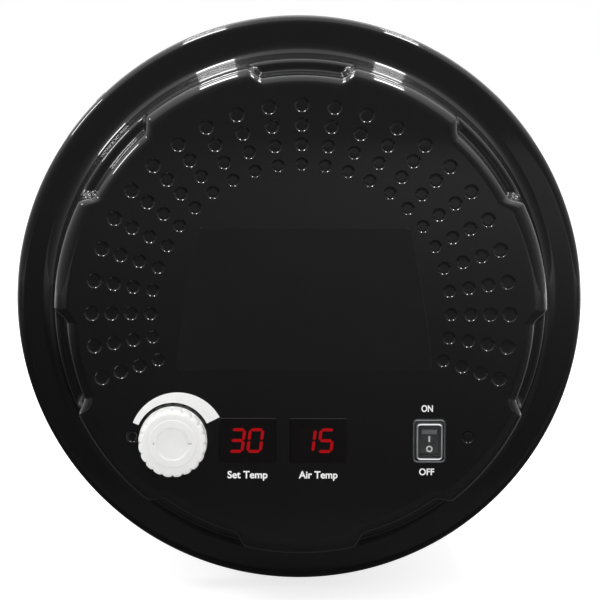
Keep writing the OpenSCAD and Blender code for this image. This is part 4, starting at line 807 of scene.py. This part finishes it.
# Drum, ring, cradles, grille and brackets: rolled and folded sheet steel with a satin black powder coat,
# whose 1.5 mm texture breaks up the reflections.
powder, tree, shader, spot = new_finish("satin_powder_coat", IOR=1.5)
pebble = add(tree, "TexNoise", {"Scale": per_mm(1.5), "Detail": 3.0}, {"Vector": spot})
drift = add(tree, "TexNoise", {"Scale": per_mm(45.0), "Detail": 2.0}, {"Vector": spot})
vary(tree, shader, drift.outputs["Fac"], Base_Color=("#1b1c1d", "#242527"))
vary(tree, shader, pebble.outputs["Fac"], Roughness=(0.36, 0.5))
bump = add(tree, "Bump", {"Strength": 0.15, "Distance": 0.00008}, {"Height": pebble.outputs["Fac"]})
tree.links.new(bump.outputs[0], shader.inputs["Normal"])
wear(("drum_shell", "front_ring", "rear_cradle", "front_cradle", "intake_grille", "cover_brackets"), powder)

# Inner sheet parts, front screws and room probe: folded, pressed and turned steel, zinc plated before
# it is put together, bright grey with spangles about 6 mm wide.
zinc, tree, shader, spot = new_finish("zinc_plated_sheet", Metallic=1.0)
spangle = add(tree, "TexVoronoi", {"Scale": per_mm(6.0)}, {"Vector": spot})
vary(tree, shader, spangle.outputs["Color"], Base_Color=("#a9acae", "#c4c7c9"), Roughness=(0.28, 0.48))
wear(("fan_shroud", "motor_bracket", "bulkhead", "nozzle_spider", "front_screws", "room_probe"), zinc)

# Motor, fan and turned parts: drawn and turned steel and pressed aluminium, with fine tool lines 0.8 mm
# wide round the heater's axis. A wave has 6.3 lines to each unit of its scale.
LINES_PER_UNIT = 6.3
for name, tones, nodes in (
        ("drawn_motor_steel", ("#8f9294", "#a5a8aa"),
         ("motor_can", "motor_endcap", "motor_stator", "motor_rotor")),
        ("turned_steel", ("#b3b6b8", "#cbcdcf"),
         ("motor_shaft", "potentiometer_spindle", "potentiometer", "potentiometer_nut",
          "ignition_electrodes", "chamber_posts", "disc_posts")),
        ("pressed_aluminium", ("#b9bcbe", "#d0d2d3"), ("fan_impeller",))):
    metal, tree, shader, spot = new_finish(name, Metallic=1.0)
    rings = {"bands_direction": "Y", "Scale": per_mm(0.8) / LINES_PER_UNIT, "Distortion": 1.5}
    lines = add(tree, "TexWave", rings, {"Vector": spot})
    vary(tree, shader, lines.outputs["Fac"], Base_Color=tones, Roughness=(0.24, 0.4))
    wear(nodes, metal)

# Hot parts: stainless sheet that has turned straw, brown and blue in bands, and the oxidised disc that
# glows in use. Their tint drifts over 25 mm and a 2 mm scale roughens it.
TINT_PLACES = (0.35, 0.52, 0.68)
for name, tints, nodes in (
        ("heat_tinted_stainless", ("#8d8577", "#a6927a", "#7b7f8c"),
         ("combustion_chamber", "burner_tube", "flame_diffuser", "heat_shield")),
        ("oxidised_disc_steel", ("#6d4a3c", "#8a5a44", "#5b4a48"), ("radiant_disc",))):
    metal, tree, shader, spot = new_finish(name, Metallic=1.0)
    bands = add(tree, "TexNoise", {"Scale": per_mm(25.0), "Detail": 2.0}, {"Vector": spot})
    scale = add(tree, "TexNoise", {"Scale": per_mm(2.0), "Detail": 4.0}, {"Vector": spot})
    tint = add(tree, "ValToRGB", None, {"Fac": bands.outputs["Fac"]})
    tint.color_ramp.elements.new(TINT_PLACES[1])
    for element, place, code in zip(tint.color_ramp.elements, TINT_PLACES, tints):
        element.position = place
        element.color = linear(code)
    tree.links.new(tint.outputs["Color"], shader.inputs["Base Color"])
    vary(tree, shader, scale.outputs["Fac"], Roughness=(0.34, 0.6))
    bump = add(tree, "Bump", {"Strength": 0.1, "Distance": 0.0001}, {"Height": scale.outputs["Fac"]})
    tree.links.new(bump.outputs[0], shader.inputs["Normal"])
    wear(nodes, metal)

# Reflector and guard: a spun and polished stainless dish and a guard of nickel plated wire, both held at
# the front ring, bright with faint spinning and drawing marks of 9 mm.
for name, tones, rough, nodes in (
        ("polished_stainless", ("#d2d4d5", "#e2e3e4"), (0.09, 0.18), ("reflector",)),
        ("bright_nickel_wire", ("#c4c3bf", "#d8d7d2"), (0.16, 0.28), ("front_guard",))):
    metal, tree, shader, spot = new_finish(name, Metallic=1.0)
    faint = add(tree, "TexNoise", {"Scale": per_mm(9.0), "Detail": 5.0}, {"Vector": spot})
    vary(tree, shader, faint.outputs["Fac"], Base_Color=tones, Roughness=rough)
    wear(nodes, metal)

# Yellow metals: turned brass fittings, drawn copper pipe and windings, and sintered bronze bushes, each
# dulled unevenly over 8 mm by handling.
for name, tones, rough, nodes in (
        ("turned_brass", ("#b08d45", "#caa75b"), (0.25, 0.42),
         ("nozzle_carrier", "spray_nozzle", "feed_nipple", "fuel_pump", "switch_terminals")),
        ("drawn_copper", ("#a8623f", "#c4764d"), (0.25, 0.45), ("fuel_pipe", "motor_windings")),
        ("sintered_bronze", ("#8d6b3d", "#a07c4b"), (0.5, 0.7), ("motor_bearings",))):
    metal, tree, shader, spot = new_finish(name, Metallic=1.0)
    dull = add(tree, "TexNoise", {"Scale": per_mm(8.0), "Detail": 4.0}, {"Vector": spot})
    vary(tree, shader, dull.outputs["Fac"], Base_Color=tones, Roughness=rough)
    wear(nodes, metal)

# Electrical parts inside: display blocks of filled plastic, the green laminate board, glazed ceramic
# insulators and red silicone leads, each with a fine mottle of its own width in millimetres.
for name, tones, rough, size, nodes in (
        ("filled_grey_plastic", ("#565759", "#636466"), (0.5, 0.65), 1.0, ("set_display", "room_display")),
        ("green_solder_resist", ("#1d6a43", "#247a4f"), (0.2, 0.34), 3.0, ("control_board",)),
        ("glazed_ceramic", ("#e6e1d3", "#efeadd"), (0.1, 0.22), 5.0,
         ("electrode_insulators", "overheat_cutout")),
        ("red_silicone", ("#8e2118", "#a12a1f"), (0.45, 0.6), 1.5, ("ignition_leads",))):
    solid, tree, shader, spot = new_finish(name, IOR=1.5)
    mottle = add(tree, "TexNoise", {"Scale": per_mm(size), "Detail": 3.0}, {"Vector": spot})
    vary(tree, shader, mottle.outputs["Fac"], Base_Color=tones, Roughness=rough)
    wear(nodes, solid)

# Floor: white paper, lit by the lamps, with white of its own added for the camera. Gloss and clear pieces see
# painted shade instead: grey that falls off towards the front, as a sheet does outside the lamps, and a
# darker band under the cover's rim as a painted shadow. It also has painted light that makes it brighter to
# the right and at the far sides. The table below holds places along the heater's axis in metres and the
# painted grey there.
FLOOR_HALF = 6.0
ADDED_WHITE = 0.75
REFLECTED_FLOOR_SHADE = ((-6.0, 0.16), (-4.6, 0.195), (-3.5, 0.185), (-1.0, 0.07), (-0.6, 0.06), (-0.4, 0.09),
              (-0.2, 0.09), (-0.14, 0.03), (0.05, 0.11), (2.0, 0.43))
bpy.context.scene.view_settings.view_transform = "Standard"
floor_mesh = bpy.data.meshes.new("floor")
floor_corners = [(-FLOOR_HALF, -FLOOR_HALF, 0), (FLOOR_HALF, -FLOOR_HALF, 0), (FLOOR_HALF, FLOOR_HALF, 0),
                 (-FLOOR_HALF, FLOOR_HALF, 0)]
floor_mesh.from_pydata(floor_corners, [], [(0, 1, 2, 3)])
floor = bpy.data.objects.new("floor", floor_mesh)
bpy.context.scene.collection.objects.link(floor)
paper, tree, shader, spot = new_finish("white_paper_floor", Base_Color=linear("#e0e0e0"), Roughness=1.0,
                                       Specular_IOR_Level=0.0)
path = add(tree, "LightPath")
place = add(tree, "SeparateXYZ", None, {0: spot})
near, far = REFLECTED_FLOOR_SHADE[0][0], REFLECTED_FLOOR_SHADE[-1][0]
# Painted shade: the grey that gloss sees, set by place along the axis, darkest under the cover's rim as a
# painted shadow.
depth = add(tree, "MapRange", {"From Min": near, "From Max": far}, {"Value": place.outputs["Y"]})
painted_floor_shade = add(tree, "ValToRGB", None, {"Fac": depth.outputs[0]})
for along, _ in REFLECTED_FLOOR_SHADE[1:-1]:
    painted_floor_shade.color_ramp.elements.new((along - near) / (far - near))
for element, (_, grey) in zip(painted_floor_shade.color_ramp.elements, REFLECTED_FLOOR_SHADE):
    element.color = (grey, grey, grey, 1.0)
# Painted light: the grey seen in gloss is brightened towards the right and at both far sides.
side = add(tree, "MapRange", {"From Min": -0.4, "From Max": 0.4, "To Min": 0.6, "To Max": 1.6},
           {"Value": place.outputs["X"]})
apart = add(tree, "Math", {"operation": "ABSOLUTE"}, {0: place.outputs["X"]})
painted_side_light = add(tree, "MapRange", {"From Min": 0.5, "From Max": 1.0, "To Min": 0.0, "To Max": 1.5},
             {"Value": apart.outputs[0]})
share = add(tree, "Math", {"operation": "ADD"}, {0: side.outputs[0], 1: painted_side_light.outputs[0]})
mirrored = add(tree, "Emission", None, {"Color": painted_floor_shade.outputs["Color"], "Strength": share.outputs[0]})
white = add(tree, "Math", {"operation": "MULTIPLY", 1: ADDED_WHITE}, {0: path.outputs["Is Camera Ray"]})
glow = add(tree, "Emission", None, {"Strength": white.outputs[0]})
lit = add(tree, "AddShader", None, {0: shader.outputs[0], 1: glow.outputs[0]})
shine = add(tree, "Math", {"operation": "MAXIMUM"}, {0: path.outputs["Is Glossy Ray"],
                                                     1: path.outputs["Is Transmission Ray"]})
sheet = add(tree, "MixShader", None, {0: shine.outputs[0], 1: lit.outputs[0], 2: mirrored.outputs[0]})
tree.links.new(sheet.outputs[0], tree.nodes["Material Output"].inputs["Surface"])
floor_mesh.materials.append(paper)

# Room: white to the camera and pale all round. In gloss it is dim towards the front and brighter behind,
# under a white ceiling that starts above the heater.
ROOM_LIGHT = 0.85
world = bpy.data.worlds.new("pale_room")
bpy.context.scene.world = world
world.use_nodes = True
tree = world.node_tree
room = tree.nodes["Background"]
room.inputs["Strength"].default_value = ROOM_LIGHT
room.inputs["Color"].default_value = linear("#ffffff")
path = add(tree, "LightPath")
heading = add(tree, "SeparateXYZ", None, {0: add(tree, "TexCoord").outputs["Generated"]})
tone = add(tree, "MapRange", {"From Min": -1.0, "From Max": 0.5, "To Min": 0.16, "To Max": 0.6},
           {"Value": heading.outputs["Y"]})
high = add(tree, "MapRange", {"From Min": 0.4, "From Max": 0.6, "To Min": 0.0, "To Max": 0.46},
           {"Value": heading.outputs["Z"]})
begun = add(tree, "MapRange", {"From Min": -0.62, "From Max": -0.5}, {"Value": heading.outputs["Y"]})
total = add(tree, "Math", {"operation": "MULTIPLY_ADD"}, {0: high.outputs[0], 1: begun.outputs[0],
                                                          2: tone.outputs[0]})
mirrored = add(tree, "Background", None, {"Strength": total.outputs[0]})
backdrop = add(tree, "Background", {"Strength": 1.0, "Color": linear("#ffffff")})
shine = add(tree, "Math", {"operation": "MAXIMUM"}, {0: path.outputs["Is Glossy Ray"],
                                                     1: path.outputs["Is Transmission Ray"]})
lit_room = add(tree, "MixShader", None, {0: shine.outputs[0], 1: room.outputs[0], 2: mirrored.outputs[0]})
whole = add(tree, "MixShader", None, {0: path.outputs["Is Camera Ray"], 1: lit_room.outputs[0],
                                      2: backdrop.outputs[0]})
tree.links.new(whole.outputs[0], tree.nodes["World Output"].inputs["Surface"])


def softbox(name, place, aim, width, height, radiance):
    """Area lamp at place that faces aim; its power is radiance times pi times its area."""
    lamp = bpy.data.lights.new(name, "AREA")
    lamp.shape = "RECTANGLE"
    lamp.size = width
    lamp.size_y = height
    lamp.energy = math.pi * width * height * radiance
    holder = bpy.data.objects.new(name, lamp)
    bpy.context.scene.collection.objects.link(holder)
    holder.location = place
    holder.rotation_euler = (Vector(aim) - Vector(place)).to_track_quat("-Z", "Y").to_euler()


# Lamps: two banks of three strips overhead, with a gap between the banks, and one square lamp at the
# left. A bank holds its place across and its width, and a strip its place along the axis and its depth.
LAMP_UP = 1.25
LAMP_RADIANCE = 26.0
SIDE_RADIANCE = 16.0
BANKS = (("left", -0.418, 0.217), ("right", 0.467, 0.177))
STRIPS = ((-0.30, 0.26), (0.18, 0.08), (1.10, 0.12))
for number, (along, deep) in enumerate(STRIPS):
    for bank, x, wide in BANKS:
        spot = (x, along, LAMP_UP)
        softbox(f"{bank}_lamp_{number}", spot, (x, along, 0.0), wide, deep, LAMP_RADIANCE)
softbox("left_side_lamp", (-1.35, -0.05, 1.2), (0.0, -0.05, 0.2), 0.30, 0.30, SIDE_RADIANCE)

# Camera: straight on the control side, slightly above the axis and a little to the left. It looks at a
# point LOOK millimetres from the middle of the panel, where the view is VIEW_WIDTH metres wide.
ELEVATION = math.radians(5.43)
AZIMUTH = math.radians(-0.75)
ROLL = math.radians(0.26)
DISTANCE = 1.93
LOOK = (-0.63, 6.1)
VIEW_WIDTH = 0.3417
lens = bpy.data.cameras.new("camera")
lens.sensor_width = 36.0
lens.lens = lens.sensor_width * DISTANCE / VIEW_WIDTH
camera = bpy.data.objects.new("camera", lens)
bpy.context.scene.collection.objects.link(camera)
target = Vector((0.0, (FLANGE_Y - PANEL_DEPTH) / 1000.0, AXIS_UP / 1000.0))
level = math.cos(ELEVATION)
back = Vector((math.sin(AZIMUTH) * level, -math.cos(AZIMUTH) * level, math.sin(ELEVATION)))
camera.location = target + DISTANCE * back
aim = target + Vector((LOOK[0] / 1000.0, 0.0, LOOK[1] / 1000.0))
facing = (aim - camera.location).to_track_quat("-Z", "Y")
camera.rotation_euler = (facing @ Quaternion((0.0, 0.0, 1.0), ROLL)).to_euler()
bpy.context.scene.camera = camera
